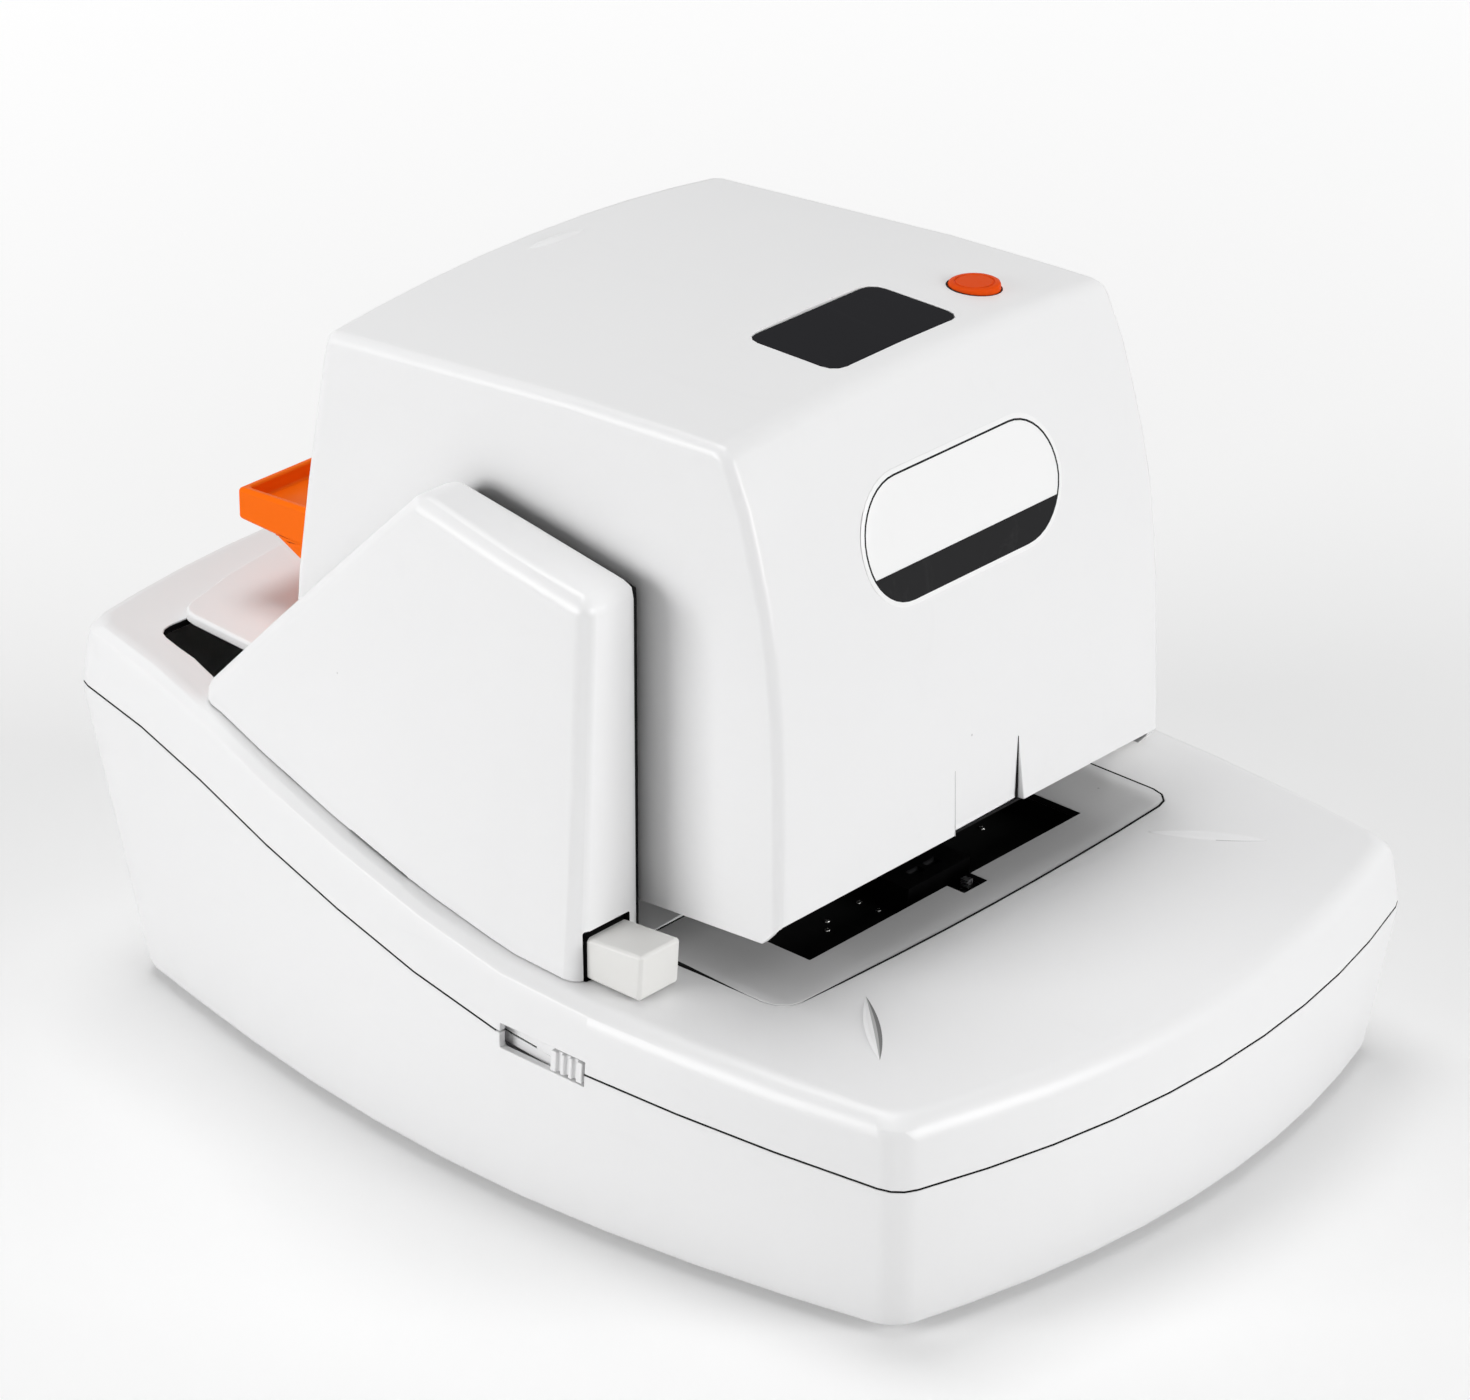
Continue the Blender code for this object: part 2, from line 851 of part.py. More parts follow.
def make_anvil(table, pocket_floor):
    centre = landing_y() - slot_front_y
    anvil = box("anvil", span_about(staple_x, anvil_width / 2), span_about(centre, anvil_length / 2),
                (pocket_floor + seat_gap, -anvil_sink), steel(), table)
    for side in (-1, 1):
        middle = staple_x + side * clinch_groove_spread
        groove = cylinder("clinch_groove", clinch_groove_radius,
                          (middle - clinch_groove_length / 2, centre, -anvil_sink),
                          (middle + clinch_groove_length / 2, centre, -anvil_sink),
                          None, table, True, 16)
        cut(anvil, groove)


def make_trigger(table, carrier, pocket_floor):
    hub_y = -lever_hub_inset
    hub_z = -lever_hub_depth
    pivot = add_empty("trigger_pivot", (staple_x, hub_y, hub_z), 0.0, table)
    hub = cylinder("trigger_lever", lever_hub_radius, (-lever_thickness / 2, 0, 0),
                   (lever_thickness / 2, 0, 0), steel(), pivot)
    arm_half = lever_hub_radius * lever_arm_share
    arm = box("trigger_arm", span_about(0.0, lever_thickness / 2), span_about(0.0, arm_half),
              (0.0, lever_hub_depth + lever_rise), None, pivot, True)
    pin = cylinder("trigger_pin", lever_pin_radius, (-lever_pin_length / 2, 0, 0),
                   (lever_pin_length / 2, 0, 0), None, pivot, True, 16)
    join(hub, arm, pin)
    saddle_top = hub_z - lever_pin_radius - seat_gap
    for side in (-1, 1):
        outer = staple_x + side * lever_pin_length / 2
        inner = staple_x + side * lever_pin_length / 4
        saddle = box("trigger_saddle", (min(inner, outer), max(inner, outer)),
                     span_about(hub_y, lever_hub_radius), (pocket_floor - overrun / 2, saddle_top),
                     None, table, True)
        join(carrier, saddle)
    centre_x = staple_x - lever_pin_length / 2 - switch_offset
    switch = box("trigger_switch", span_about(centre_x, switch_size[0] / 2),
                 span_about(hub_y, switch_size[1] / 2),
                 (pocket_floor + seat_gap, pocket_floor + seat_gap + switch_size[2]),
                 black_plastic(), table)
    round_edges(switch, switch_edge_radius, 1)


# The two blocks, the bar that joins them under the table, and the knob in the side slot.
def make_depth_stop(case, cover, table, stop):
    front = stop_front_y - slot_front_y
    rear = front + stop_length
    leg_rear = rear - stop_edge_radius
    leg_front = leg_rear - stop_leg_length
    for name, side in (("left_stop_block", -1), ("right_stop_block", 1)):
        xs = sorted((side * stop_inner_x, side * stop_outer_x))
        block = box(name, xs, (front, rear), (stop_lift, stop_lift + stop_height), white_plastic(), stop)
        round_edges(block, stop_edge_radius, 2)
        middle = side * (stop_inner_x + stop_outer_x) / 2
        leg = box(name + "_leg", span_about(middle, stop_leg_width / 2), (leg_front, leg_rear),
                  (-stop_leg_drop, stop_height / 2), None, stop, True)
        join(block, leg)
        passage = box(name + "_passage", (xs[0] - seat_gap * 2, xs[1] + seat_gap * 2),
                      (shroud_front_y - slot_front_y + seat_gap, rear + stop_travel + overrun),
                      (-stop_leg_drop / 2, stop_height), None, table, True)
        cut(cover, passage)
    bar_top = -stop_leg_drop - seat_gap
    bar_half = stop_outer_x - bar_end_inset
    box("stop_cross_bar", span_about(0.0, bar_half), (leg_front, leg_rear),
        (bar_top - bar_height, bar_top), steel(), stop)
    knob_front = knob_front_y - slot_front_y
    knob_z = -knob_below_table
    knob_face = -widest_half_width
    arm_outer = knob_face + knob_arm_depth
    knob = box("stop_slider_knob", (knob_face, -bar_half - seat_gap),
               (knob_front, knob_front + knob_length),
               span_about(knob_z, knob_height / 2), white_plastic(), stop)
    arm = box("stop_knob_arm", (arm_outer, -bar_half - seat_gap), (knob_front, leg_rear),
              span_about(knob_z, knob_height / 2), None, stop, True)
    join(knob, arm)
    pitch = knob_length / knob_rib_count
    for index in range(knob_rib_count - 1):
        centre = knob_front + pitch * (index + 1)
        groove = box("stop_knob_groove", (knob_face - overrun, knob_face + knob_rib_depth),
                     span_about(centre, pitch / 4), span_about(knob_z, knob_height), None, stop, True)
        cut(knob, groove)
    slot = box("stop_knob_slot", (knob_face - overrun, arm_outer + overrun),
               (knob_front - knob_slot_clearance, knob_front + knob_length + stop_travel
                + knob_slot_clearance),
               span_about(knob_z, knob_height / 2 + knob_slot_clearance), None, table, True)
    cut(case, slot)
    cut(cover, slot)


# Sections of a shroud from front to rear: inner foot, outer foot, outer top, inner top.
# The cavity is the same form, drawn in by the wall and open at the foot.
def shroud_sections(wall):
    front = shroud_front_y + wall
    tail = shroud_tail_y - wall * 2
    stations = (front, (front + shroud_peak_y) / 2, shroud_peak_y,
                shroud_peak_y + (tail - shroud_peak_y) / 3,
                shroud_peak_y + (tail - shroud_peak_y) * 2 / 3, tail)
    sections = []
    for y in stations:
        if y <= shroud_peak_y:
            share = (y - shroud_front_y) / (shroud_peak_y - shroud_front_y)
            top = shroud_front_z + share * (shroud_peak_z - shroud_front_z)
        else:
            share = (y - shroud_peak_y) / (shroud_tail_y - shroud_peak_y)
            top = shroud_peak_z + share * (shroud_tail_z - shroud_peak_z)
        foot = table_z(y) - shroud_root_depth - wall * 3
        outer_foot = half_width(y) - shroud_inset
        outer_top = outer_foot - shroud_lean * (top - table_z(y)) - wall
        top -= wall if y <= shroud_peak_y else wall * cavity_roof_share
        sections.append(((shroud_inner_x + wall, y, foot), (outer_foot - wall, y, foot),
                         (outer_top, y, top), (shroud_inner_x + wall, y, top)))
    return sections


def shroud_form(name, side, wall, look=None):
    work = bmesh.new()
    rings = []
    for section in shroud_sections(wall):
        rings.append(add_ring(work, [(side * x, y, z) for x, y, z in section]))
    skin_rings(work, rings)
    work.faces.new(rings[0])
    work.faces.new(rings[-1])
    made = add_object(name, finish(work, name), look, helper=look is None)
    round_edges(made, shroud_edge_radius - wall, 3 if look else 2, 30.0)
    weld_points(made)
    return made


def make_shroud(name, side, form):
    shroud = shroud_form(name, side, 0.0, white_plastic())
    cavity = shroud_form(name + "_cavity", side, shroud_wall)
    bore = cylinder(name + "_bore", pivot_radius + shroud_hole_clearance,
                    (side * (shroud_inner_x - overrun), pivot_y, pivot_z),
                    (side * (shroud_inner_x + shroud_wall * 2), pivot_y, pivot_z),
                    helper=True)
    return cut(shroud, form, cavity, bore)


def cut_stop_window(shroud, side, table):
    front = shroud_front_y - slot_front_y
    xs = sorted((side * (stop_inner_x - shroud_hole_clearance),
                 side * (stop_outer_x + shroud_hole_clearance)))
    window = box(shroud.name + "_window", xs, (front - overrun, front + shroud_edge_radius),
                 (-shroud_root_depth, stop_lift + stop_height + stop_window_gap),
                 None, table, True)
    cut(shroud, window)


def make_chassis():
    half = chassis_half_width
    narrow = chassis_narrow_half_width
    first, second = chassis_shoulder_ys
    outline = [(-narrow, chassis_front_y), (narrow, chassis_front_y), (half, first), (half, second),
               (narrow, chassis_rear_y), (-narrow, chassis_rear_y), (-half, second), (-half, first)]
    plate = prism("chassis_plate", outline, 2, (chassis_z, chassis_z + chassis_thickness), steel())
    floor = foot_height + plastic_wall + seat_gap
    for y in (chassis_front_y + chassis_flange, chassis_rear_y - chassis_flange * 2, lift_y):
        stand = box("chassis_foot", span_about(0.0, narrow), (y, y + chassis_thickness),
                    (floor, chassis_z + chassis_thickness / 2), helper=True)
        join(plate, stand)
    return plate


def make_side_plate(name, side):
    base = chassis_z + chassis_thickness + seat_gap
    eye = []
    for step in range(side_plate_eye_steps + 1):
        angle = pi * step / side_plate_eye_steps
        eye.append((pivot_y + side_plate_eye_radius * cos(angle),
                    pivot_z + side_plate_eye_radius * sin(angle)))
    shoulder = pivot_z - side_plate_eye_drop
    outline = [(side_plate_front_y, base), (side_plate_rear_y, base), (side_plate_rear_y, shoulder)]
    outline += eye + [(side_plate_front_y, shoulder)]
    xs = sorted((side * side_plate_x, side * (side_plate_x + side_plate_thickness)))
    plate = prism(name, outline, 0, xs, steel())
    bore = cylinder(name + "_bore", pivot_radius + seat_gap, (xs[0] - overrun, pivot_y, pivot_z),
                    (xs[1] + overrun, pivot_y, pivot_z), helper=True)
    cut(plate, bore)


def cut_side_plate_slots(cover):
    for side in (-1, 1):
        xs = sorted((side * (side_plate_x - seat_gap * 2),
                     side * (side_plate_x + side_plate_thickness + seat_gap * 2)))
        slot = box("side_plate_slot", xs, (side_plate_front_y - seat_gap * 2,
                   side_plate_rear_y + seat_gap * 2),
                   (table_z(side_plate_front_y) - cover_height, table_z(side_plate_rear_y) + overrun),
                   helper=True)
        cut(cover, slot)


def make_pivot():
    reach = side_plate_x + side_plate_thickness + pivot_overhang
    cylinder("pivot_shaft", pivot_radius, (-reach, pivot_y, pivot_z), (reach, pivot_y, pivot_z),
             steel())


# One straight wire coil that stands on the post's head and meets the head's base plate.
def make_lift_spring(cover):
    post_base = chassis_z + chassis_thickness + seat_gap
    table_here = table_z(lift_y)
    post_top = table_here - lift_post_sink
    post = cylinder("lift_spring_post", lift_post_radius, (lift_x, lift_y, post_base),
                    (lift_x, lift_y, post_top), steel())
    cap = cylinder("lift_post_cap", lift_post_head_radius,
                   (lift_x, lift_y, post_top - lift_post_head_height / 2),
                   (lift_x, lift_y, post_top + lift_post_head_height / 2), helper=True)
    join(post, cap)
    hole = cylinder("lift_post_hole", lift_post_head_radius + seat_gap * 2,
                    (lift_x, lift_y, table_here - cover_height),
                    (lift_x, lift_y, table_here + overrun), helper=True)
    cut(cover, hole)
    bottom = post_top + lift_post_head_height / 2 + seat_gap + lift_wire_radius
    spring_rear = lift_y - lift_spring_radius
    top = plate_underside_z(spring_rear) - seat_gap * 2 - lift_wire_radius * 2
    add_coil("lift_spring", lift_x, lift_y, bottom, top)


def add_coil(name, x, y, bottom, top):
    places = []
    total = lift_spring_turns * lift_turn_points
    for index in range(total + 1):
        angle = 2 * pi * index / lift_turn_points
        places.append(Vector((lift_spring_radius * cos(angle), lift_spring_radius * sin(angle),
                              (top - bottom) * index / total)))
    half_turn = lift_turn_points // 2
    nearest = min((places[later] - places[index]).length for index in range(total)
                  for later in range(index + half_turn, total + 1))
    print("least gap between turns", nearest - 2 * lift_wire_radius)
    curve = bpy.data.curves.new(name, "CURVE")
    curve.dimensions = "3D"
    curve.bevel_depth = lift_wire_radius
    curve.bevel_resolution = 1
    curve.use_fill_caps = True
    line = curve.splines.new("POLY")
    line.points.add(total)
    for index, place in enumerate(places):
        line.points[index].co = (*place, 1.0)
    made = add_object(name, curve, steel())
    made.location = (x, y, bottom)
    weld_points(made)


def head_underside_z(y):
    if y <= head_flat_end_y:
        return head_bottom_z
    climb = (head_rear_bottom_z - head_bottom_z) / (head_rear_y - head_flat_end_y)
    return head_bottom_z + climb * (y - head_flat_end_y)


def plate_underside_z(y):
    return head_underside_z(y) + head_plate_recess


def head_side_place(shares):
    return Vector((head_front_y + (head_rear_y - head_front_y) * shares[0],
                   head_bottom_z + (head_top_z - head_bottom_z) * shares[1]))


def rounded_ridge(before, ridge, after):
    start = ridge + (before - ridge).normalized() * head_ridge_length
    end = ridge + (after - ridge).normalized() * head_ridge_length
    return corner_arc(start, ridge, end, corner_steps)


# Side view of the head's housing, from the front lip over the top to the rear edge.
def head_profile():
    front = [Vector((head_front_y, head_lip_z))] + [head_side_place(pair) for pair in head_front_shares]
    rear = [head_side_place(pair) for pair in head_rear_shares] + [Vector((head_rear_y, head_rear_bottom_z))]
    top = [head_side_place(head_top_front_share), Vector((head_peak_y, head_top_z)),
           Vector(((head_peak_y + head_rear_y) / 2,
                   head_bottom_z + (head_top_z - head_bottom_z) * head_ridge_share))]
    return (front + rounded_ridge(front[-1], head_side_place(head_front_ridge_share), top[0]) + top
            + rounded_ridge(top[-1], head_side_place(head_rear_ridge_share), rear[0]) + rear)


# The crown lifts the middle of the top, less at the front, and the draft draws the sides in.
def head_section_place(share, y, z):
    height_share = (z - head_bottom_z) / (head_top_z - head_bottom_z)
    half = head_half_width + (head_top_half_width - head_half_width) * height_share
    run_share = min(1.0, (y - head_front_y) / head_crown_run)
    crown = head_crown * (head_crown_front_share + (1 - head_crown_front_share) * run_share)
    lift = crown * (1 - share * share) * max(0.0, height_share) ** 4
    return (share * half, y, z + lift)


def make_head_cover():
    profile = head_profile()
    work = bmesh.new()
    rows = []
    for step in range(head_cross_steps + 1):
        share = -1 + 2 * step / head_cross_steps
        rows.append([work.verts.new(head_section_place(share, y, z)) for y, z in profile])
    for left, right in zip(rows, rows[1:]):
        for index in range(len(profile) - 1):
            work.faces.new((left[index], right[index], right[index + 1], left[index + 1]))
    for share, row in ((-1, rows[0]), (1, rows[-1])):
        corner_rear = work.verts.new(head_section_place(share, head_flat_end_y, head_bottom_z))
        corner_front = work.verts.new(head_section_place(
            share, head_front_y + head_lip_z - head_bottom_z, head_bottom_z))
        work.faces.new(row + [corner_rear, corner_front])
    bmesh.ops.recalc_face_normals(work, faces=work.faces)
    top = max(work.faces, key=lambda face: face.calc_center_median().z)
    if top.normal.z < 0:
        bmesh.ops.reverse_faces(work, faces=work.faces)
    mesh = bpy.data.meshes.new("head_cover")
    work.to_mesh(mesh)
    work.free()
    cover = add_object("head_cover", mesh, white_plastic())
    round_edges(cover, head_edge_radius, 4, 50.0)
    thicken(cover, head_wall)
    cut_head_openings(cover)
    return cover


def cut_head_openings(cover):
    scoop_top = head_lip_z + scoop_height
    scoop_half = scoop_width / 2
    backing = [(head_front_y + head_wall / 2, head_lip_z),
               (head_front_y + scoop_depth + scoop_wall, head_lip_z),
               (head_front_y + head_wall + seat_gap, scoop_top + scoop_wall),
               (head_front_y + head_wall / 2, scoop_top + scoop_wall)]
    join(cover, prism("scoop_backing", backing, 0, span_about(staple_x, scoop_half + scoop_wall),
                      helper=True))
    wedge = [(head_front_y - overrun, head_bottom_z), (head_front_y + scoop_depth, head_bottom_z),
             (head_front_y + scoop_depth, head_lip_z), (head_front_y + seat_gap, scoop_top),
             (head_front_y - overrun, scoop_top)]
    cut(cover, prism("sight_scoop", wedge, 0, span_about(staple_x, scoop_half), helper=True))
    door = box("magazine_door", span_about(staple_x, channel_half_width + rail_lip_thickness * 2),
               (rail_rear_y - overrun * 4, head_rear_y + overrun),
               (head_rear_bottom_z - overrun * 2, rail_bottom_z + magazine_door_height), helper=True)
    shaft_notch = cylinder("pivot_notch", bush_flange_radius,
                           (-head_half_width - overrun, pivot_y, pivot_z),
                           (head_half_width + overrun, pivot_y, pivot_z), helper=True)
    cut(cover, door, shaft_notch)


def top_surface_z(x, y):
    profile = head_profile()
    for (y0, z0), (y1, z1) in zip(profile, profile[1:]):
        if y0 <= y <= y1 and z0 > (head_bottom_z + head_top_z) / 2:
            side_z = z0 + (z1 - z0) * (y - y0) / (y1 - y0)
            share = x / head_top_half_width
            return head_section_place(share, y, side_z)[2]
    return head_top_z


def rounded_rectangle(half_x, half_y, corner):
    points = []
    for centre_x, centre_y, start in ((half_x - corner, -half_y + corner, -90),
                                      (half_x - corner, half_y - corner, 0),
                                      (-half_x + corner, half_y - corner, 90),
                                      (-half_x + corner, -half_y + corner, 180)):
        for step in range(corner_steps + 1):
            angle = radians(start + 90 * step / corner_steps)
            points.append((centre_x + corner * cos(angle), centre_y + corner * sin(angle)))
    return points


def make_window(cover):
    place = add_empty("window_place", (0.0, window_y, top_surface_z(0.0, window_y) - window_sink),
                      window_tilt)
    outline = rounded_rectangle(window_width / 2, window_length / 2, window_corner_radius)
    prism("display_window", outline, 2, (-window_thickness, 0.0), window_plastic(), place)
    grown = rounded_rectangle(window_width / 2 + seat_gap, window_length / 2 + seat_gap,
                              window_corner_radius + seat_gap)
    cut(cover, prism("window_hole", grown, 2, (-head_wall * 3, overrun), None, place, True))
    board_top = -window_thickness - seat_gap
    board = box("display_board", (-window_width / 2, button_x + button_radius),
                span_about(0.0, window_length / 2 - window_corner_radius),
                (-display_board_drop - board_thickness, -display_board_drop), board_green(), place)
    screen = box("display_screen", span_about(0.0, window_width / 2 - window_corner_radius),
                 span_about(0.0, window_length / 2 - window_corner_radius),
                 (-display_board_drop - board_thickness / 2, board_top), None, place, True)
    join(board, screen)


def make_button(cover):
    surface = top_surface_z(button_x, button_y)
    place = add_empty("button_place", (button_x, button_y, surface))
    shank = button_radius - button_bezel
    button = cylinder("start_button", shank, (0, 0, button_stand - button_height - button_travel),
                      (0, 0, button_stand / 2), orange_plastic(), place)
    cap = add_object("button_cap", cylinder_mesh("button_cap", button_radius, (0, 0, 0.0),
                     (0, 0, button_stand)), helper=True, parent=place)
    round_edges(cap, button_bezel / 2, 2, 60.0)
    join(button, cap)
    well = cylinder("button_well", button_radius + seat_gap, (0, 0, -button_travel - seat_gap * 2),
                    (0, 0, overrun), None, place, True)
    bore = cylinder("button_bore", shank + seat_gap, (0, 0, -head_wall * 3), (0, 0, 0), None, place, True)
    cut(cover, join(well, bore))


# A thin plate that closes the head's underside and follows its bend.
def make_head_base_plate():
    half = head_half_width - head_wall - seat_gap * 4
    front = head_front_y + head_wall * 2
    low = head_bottom_z + head_plate_recess
    rise = plate_underside_z(head_plate_rear_y)
    outline = [(front, low), (head_flat_end_y, low), (head_plate_rear_y, rise),
               (head_plate_rear_y, rise + head_plate_thickness),
               (head_flat_end_y, low + head_plate_thickness), (front, low + head_plate_thickness)]
    plate = prism("head_base_plate", outline, 0, (-half, half), black_plastic())
    opening = box("nose_opening", span_about(staple_x, nose_half_width + seat_gap),
                  (nose_front_y - seat_gap, nose_rear_y + seat_gap), (low - overrun, low + overrun),
                  helper=True)
    cut(plate, opening)


def make_head_frame():
    left = staple_x - cheek_spread
    right = staple_x + cheek_spread
    base = head_bottom_z + head_plate_recess + head_plate_thickness + seat_gap
    rear_face = gear_plate_y + frame_thickness
    frame = box("head_frame", (gear_plate_left_x, gear_plate_right_x), (gear_plate_y, rear_face),
                (base, gear_plate_top_z), steel())
    climb_base = plate_underside_z(head_plate_rear_y) + head_plate_thickness + seat_gap
    lug = bush_flange_radius
    lug_z = pivot_z - cheek_lug_drop
    rear_top = rail_bottom_z + cheek_rear_height
    outline = [(gear_plate_y + frame_thickness / 2, base), (head_flat_end_y, base),
               (head_plate_rear_y, climb_base), (pivot_y - lug, lug_z), (pivot_y + lug, lug_z),
               (cheek_rear_y, climb_base), (cheek_rear_y, rear_top),
               (gear_plate_y + frame_thickness / 2, crank_z + cheek_front_rise)]
    for name, inner, outer in (("left_cheek", left, left - frame_thickness),
                               ("right_cheek", right, right + frame_thickness)):
        cheek = prism(name, outline, 0, sorted((inner, outer)), helper=True)
        join(frame, cheek)
    strap = box("frame_strap", (left - frame_thickness, right + frame_thickness),
                (cheek_rear_y - strap_length, cheek_rear_y),
                (rear_top - strap_height, rear_top), helper=True)
    join(frame, strap)
    window = box("frame_window", span_about(staple_x, nose_half_width - seat_gap * 3),
                 (gear_plate_y - overrun, rear_face + overrun),
                 (rail_bottom_z - overrun, nose_top_z + seat_gap), helper=True)
    bore = cylinder("frame_bore", pivot_radius + bush_wall + seat_gap,
                    (left - overrun * 2, pivot_y, pivot_z), (right + overrun * 2, pivot_y, pivot_z),
                    helper=True)
    pinion_z = pinion_place()[1]
    hole = cylinder("pinion_hole", shaft_hole_radius, (pinion_x, gear_plate_y - overrun, pinion_z),
                    (pinion_x, rear_face + overrun, pinion_z), helper=True)
    cut(frame, window, bore, hole)
    for name, side, cheek in (("left_pivot_bush", -1, left), ("right_pivot_bush", 1, right)):
        make_bush(name, side, cheek)


def make_bush(name, side, cheek):
    inner = cheek
    outer = cheek + side * frame_thickness
    flange = outer + side * seat_gap
    barrel = cylinder(name, pivot_radius + bush_wall, (inner, pivot_y, pivot_z),
                      (flange + side * bush_flange / 2, pivot_y, pivot_z), brass())
    collar = cylinder(name + "_collar", bush_flange_radius, (flange, pivot_y, pivot_z),
                      (flange + side * bush_flange, pivot_y, pivot_z), helper=True)
    bore = cylinder(name + "_bore", pivot_radius + seat_gap,
                    (inner - side * overrun, pivot_y, pivot_z),
                    (flange + side * (bush_flange + overrun), pivot_y, pivot_z), helper=True)
    join(barrel, collar)
    cut(barrel, bore)


def make_nose_guide():
    nose = box("nose_guide", span_about(staple_x, nose_half_width), (nose_front_y, nose_rear_y),
               (nose_bottom_z, nose_top_z), steel())
    for side in (-1, 1):
        xs = sorted((staple_x + side * nose_half_width,
                     staple_x + side * (nose_half_width - nose_ear_width)))
        ear = box("nose_ear", xs, (nose_rear_y - overrun, gear_plate_y - seat_gap),
                  (head_bottom_z + head_plate_recess + head_plate_thickness + seat_gap, nose_top_z),
                  helper=True)
        join(nose, ear)
    raceway = box("raceway", span_about(staple_x, raceway_half_width),
                  span_about(staple_y, raceway_half_gap),
                  (nose_bottom_z - overrun, nose_top_z + overrun), helper=True)
    feed = box("staple_feed", span_about(staple_x, raceway_half_width),
               (staple_y, nose_rear_y + overrun),
               (channel_bottom_z + channel_wall, channel_top_z), helper=True)
    cut(nose, raceway, feed)


def make_magazine_rail():
    half = channel_half_width + seat_gap + rail_lip_thickness
    front = gear_plate_y + frame_thickness + seat_gap
    rail = box("magazine_rail", span_about(staple_x, half), (front, rail_rear_y),
               (rail_bottom_z, rail_bottom_z + rail_lip_height), steel())
    for y in rail_tab_ys:
        tab = box("rail_tab", span_about(staple_x, cheek_spread - seat_gap),
                  span_about(y, rail_tab_length / 2),
                  (rail_bottom_z, rail_bottom_z + rail_thickness), helper=True)
        join(rail, tab)
    groove = box("rail_groove", span_about(staple_x, channel_half_width + seat_gap),
                 (front - overrun, rail_rear_y + overrun),
                 (rail_bottom_z + rail_thickness, rail_bottom_z + rail_lip_height + overrun),
                 helper=True)
    cut(rail, groove)


def make_magazine():
    bottom = channel_bottom_z
    front = nose_rear_y + channel_front_gap
    channel = box("magazine_channel", span_about(staple_x, channel_half_width),
                  (front, channel_rear_y), (bottom, channel_top_z), steel())
    inner = channel_half_width - channel_wall
    trough = box("channel_trough", span_about(staple_x, inner), (front - overrun,
                 channel_rear_y - channel_wall), (bottom + channel_wall, channel_top_z + overrun),
                 helper=True)
    cut(channel, trough)
    pusher_bottom = bottom + channel_wall + seat_gap
    pusher = box("staple_pusher", span_about(staple_x, inner - pusher_side_gap),
                 (front, front + pusher_length), (pusher_bottom, pusher_bottom + pusher_height),
                 gear_plastic())
    round_edges(pusher, pusher_side_gap, 1)
    make_handle()


def make_handle():
    top = rail_bottom_z + handle_height
    root = rail_bottom_z + handle_root_height
    rim_bottom = top - handle_rim_height
    length = handle_rear_y - handle_front_y
    rise = rim_bottom - root
    outline = [(handle_front_y, top), (handle_front_y, root)]
    outline += [(handle_front_y + length * a, root + rise * b) for a, b in handle_belly_shares]
    outline += [(handle_rear_y, rim_bottom), (handle_rear_y, top)]
    handle = prism("magazine_handle", outline, 0, span_about(staple_x, handle_half_width),
                   orange_plastic())
    round_edges(handle, handle_edge_radius, 2, 30.0)
    tray = box("handle_tray", span_about(staple_x, handle_half_width - handle_wall),
               (handle_front_y + handle_wall, handle_rear_y - handle_wall),
               (top - handle_tray_depth, top + overrun), helper=True)
    neck = box("handle_neck", span_about(staple_x, handle_neck_half_width),
               (channel_rear_y + seat_gap, handle_front_y + handle_wall),
               (channel_bottom_z + seat_gap, root + channel_height), helper=True)
    join(handle, neck)
    cut(handle, tray)


# Outline of a spur gear with straight-sided teeth, centred on the origin.
def gear_outline(teeth, phase):
    pitch_radius = teeth * gear_module / 2
    root = pitch_radius - gear_module * gear_root_share
    tip = pitch_radius + gear_module * gear_tip_share
    pitch_angle = 2 * pi / teeth
    points = []
    for index in range(teeth):
        middle = phase + index * pitch_angle
        for radius, offset_share in ((root, -tooth_root_share), (tip, -tooth_tip_share),
                                     (tip, tooth_tip_share), (root, tooth_root_share)):
            angle = middle + offset_share * pitch_angle
            points.append((radius * cos(angle), radius * sin(angle)))
    return points


def idler_place():
    return staple_x + idler_reach * cos(idler_angle), crank_z + idler_reach * sin(idler_angle)


def pinion_place():
    return pinion_x, idler_place()[1] + pinion_reach * sin(pinion_angle)


def add_gear(name, teeth, phase, place, bore_radius):
    empty = add_empty(name + "_axis", (place[0], 0.0, place[1]))
    gear = prism(name, gear_outline(teeth, phase), 1, (gear_front_y, gear_front_y + gear_width),
                 gear_plastic(), empty)
    if bore_radius:
        bore = cylinder(name + "_bore", bore_radius, (0, gear_front_y - overrun, 0),
                        (0, gear_front_y + gear_width + overrun, 0), None, empty, True)
        cut(gear, bore)
    return gear, empty


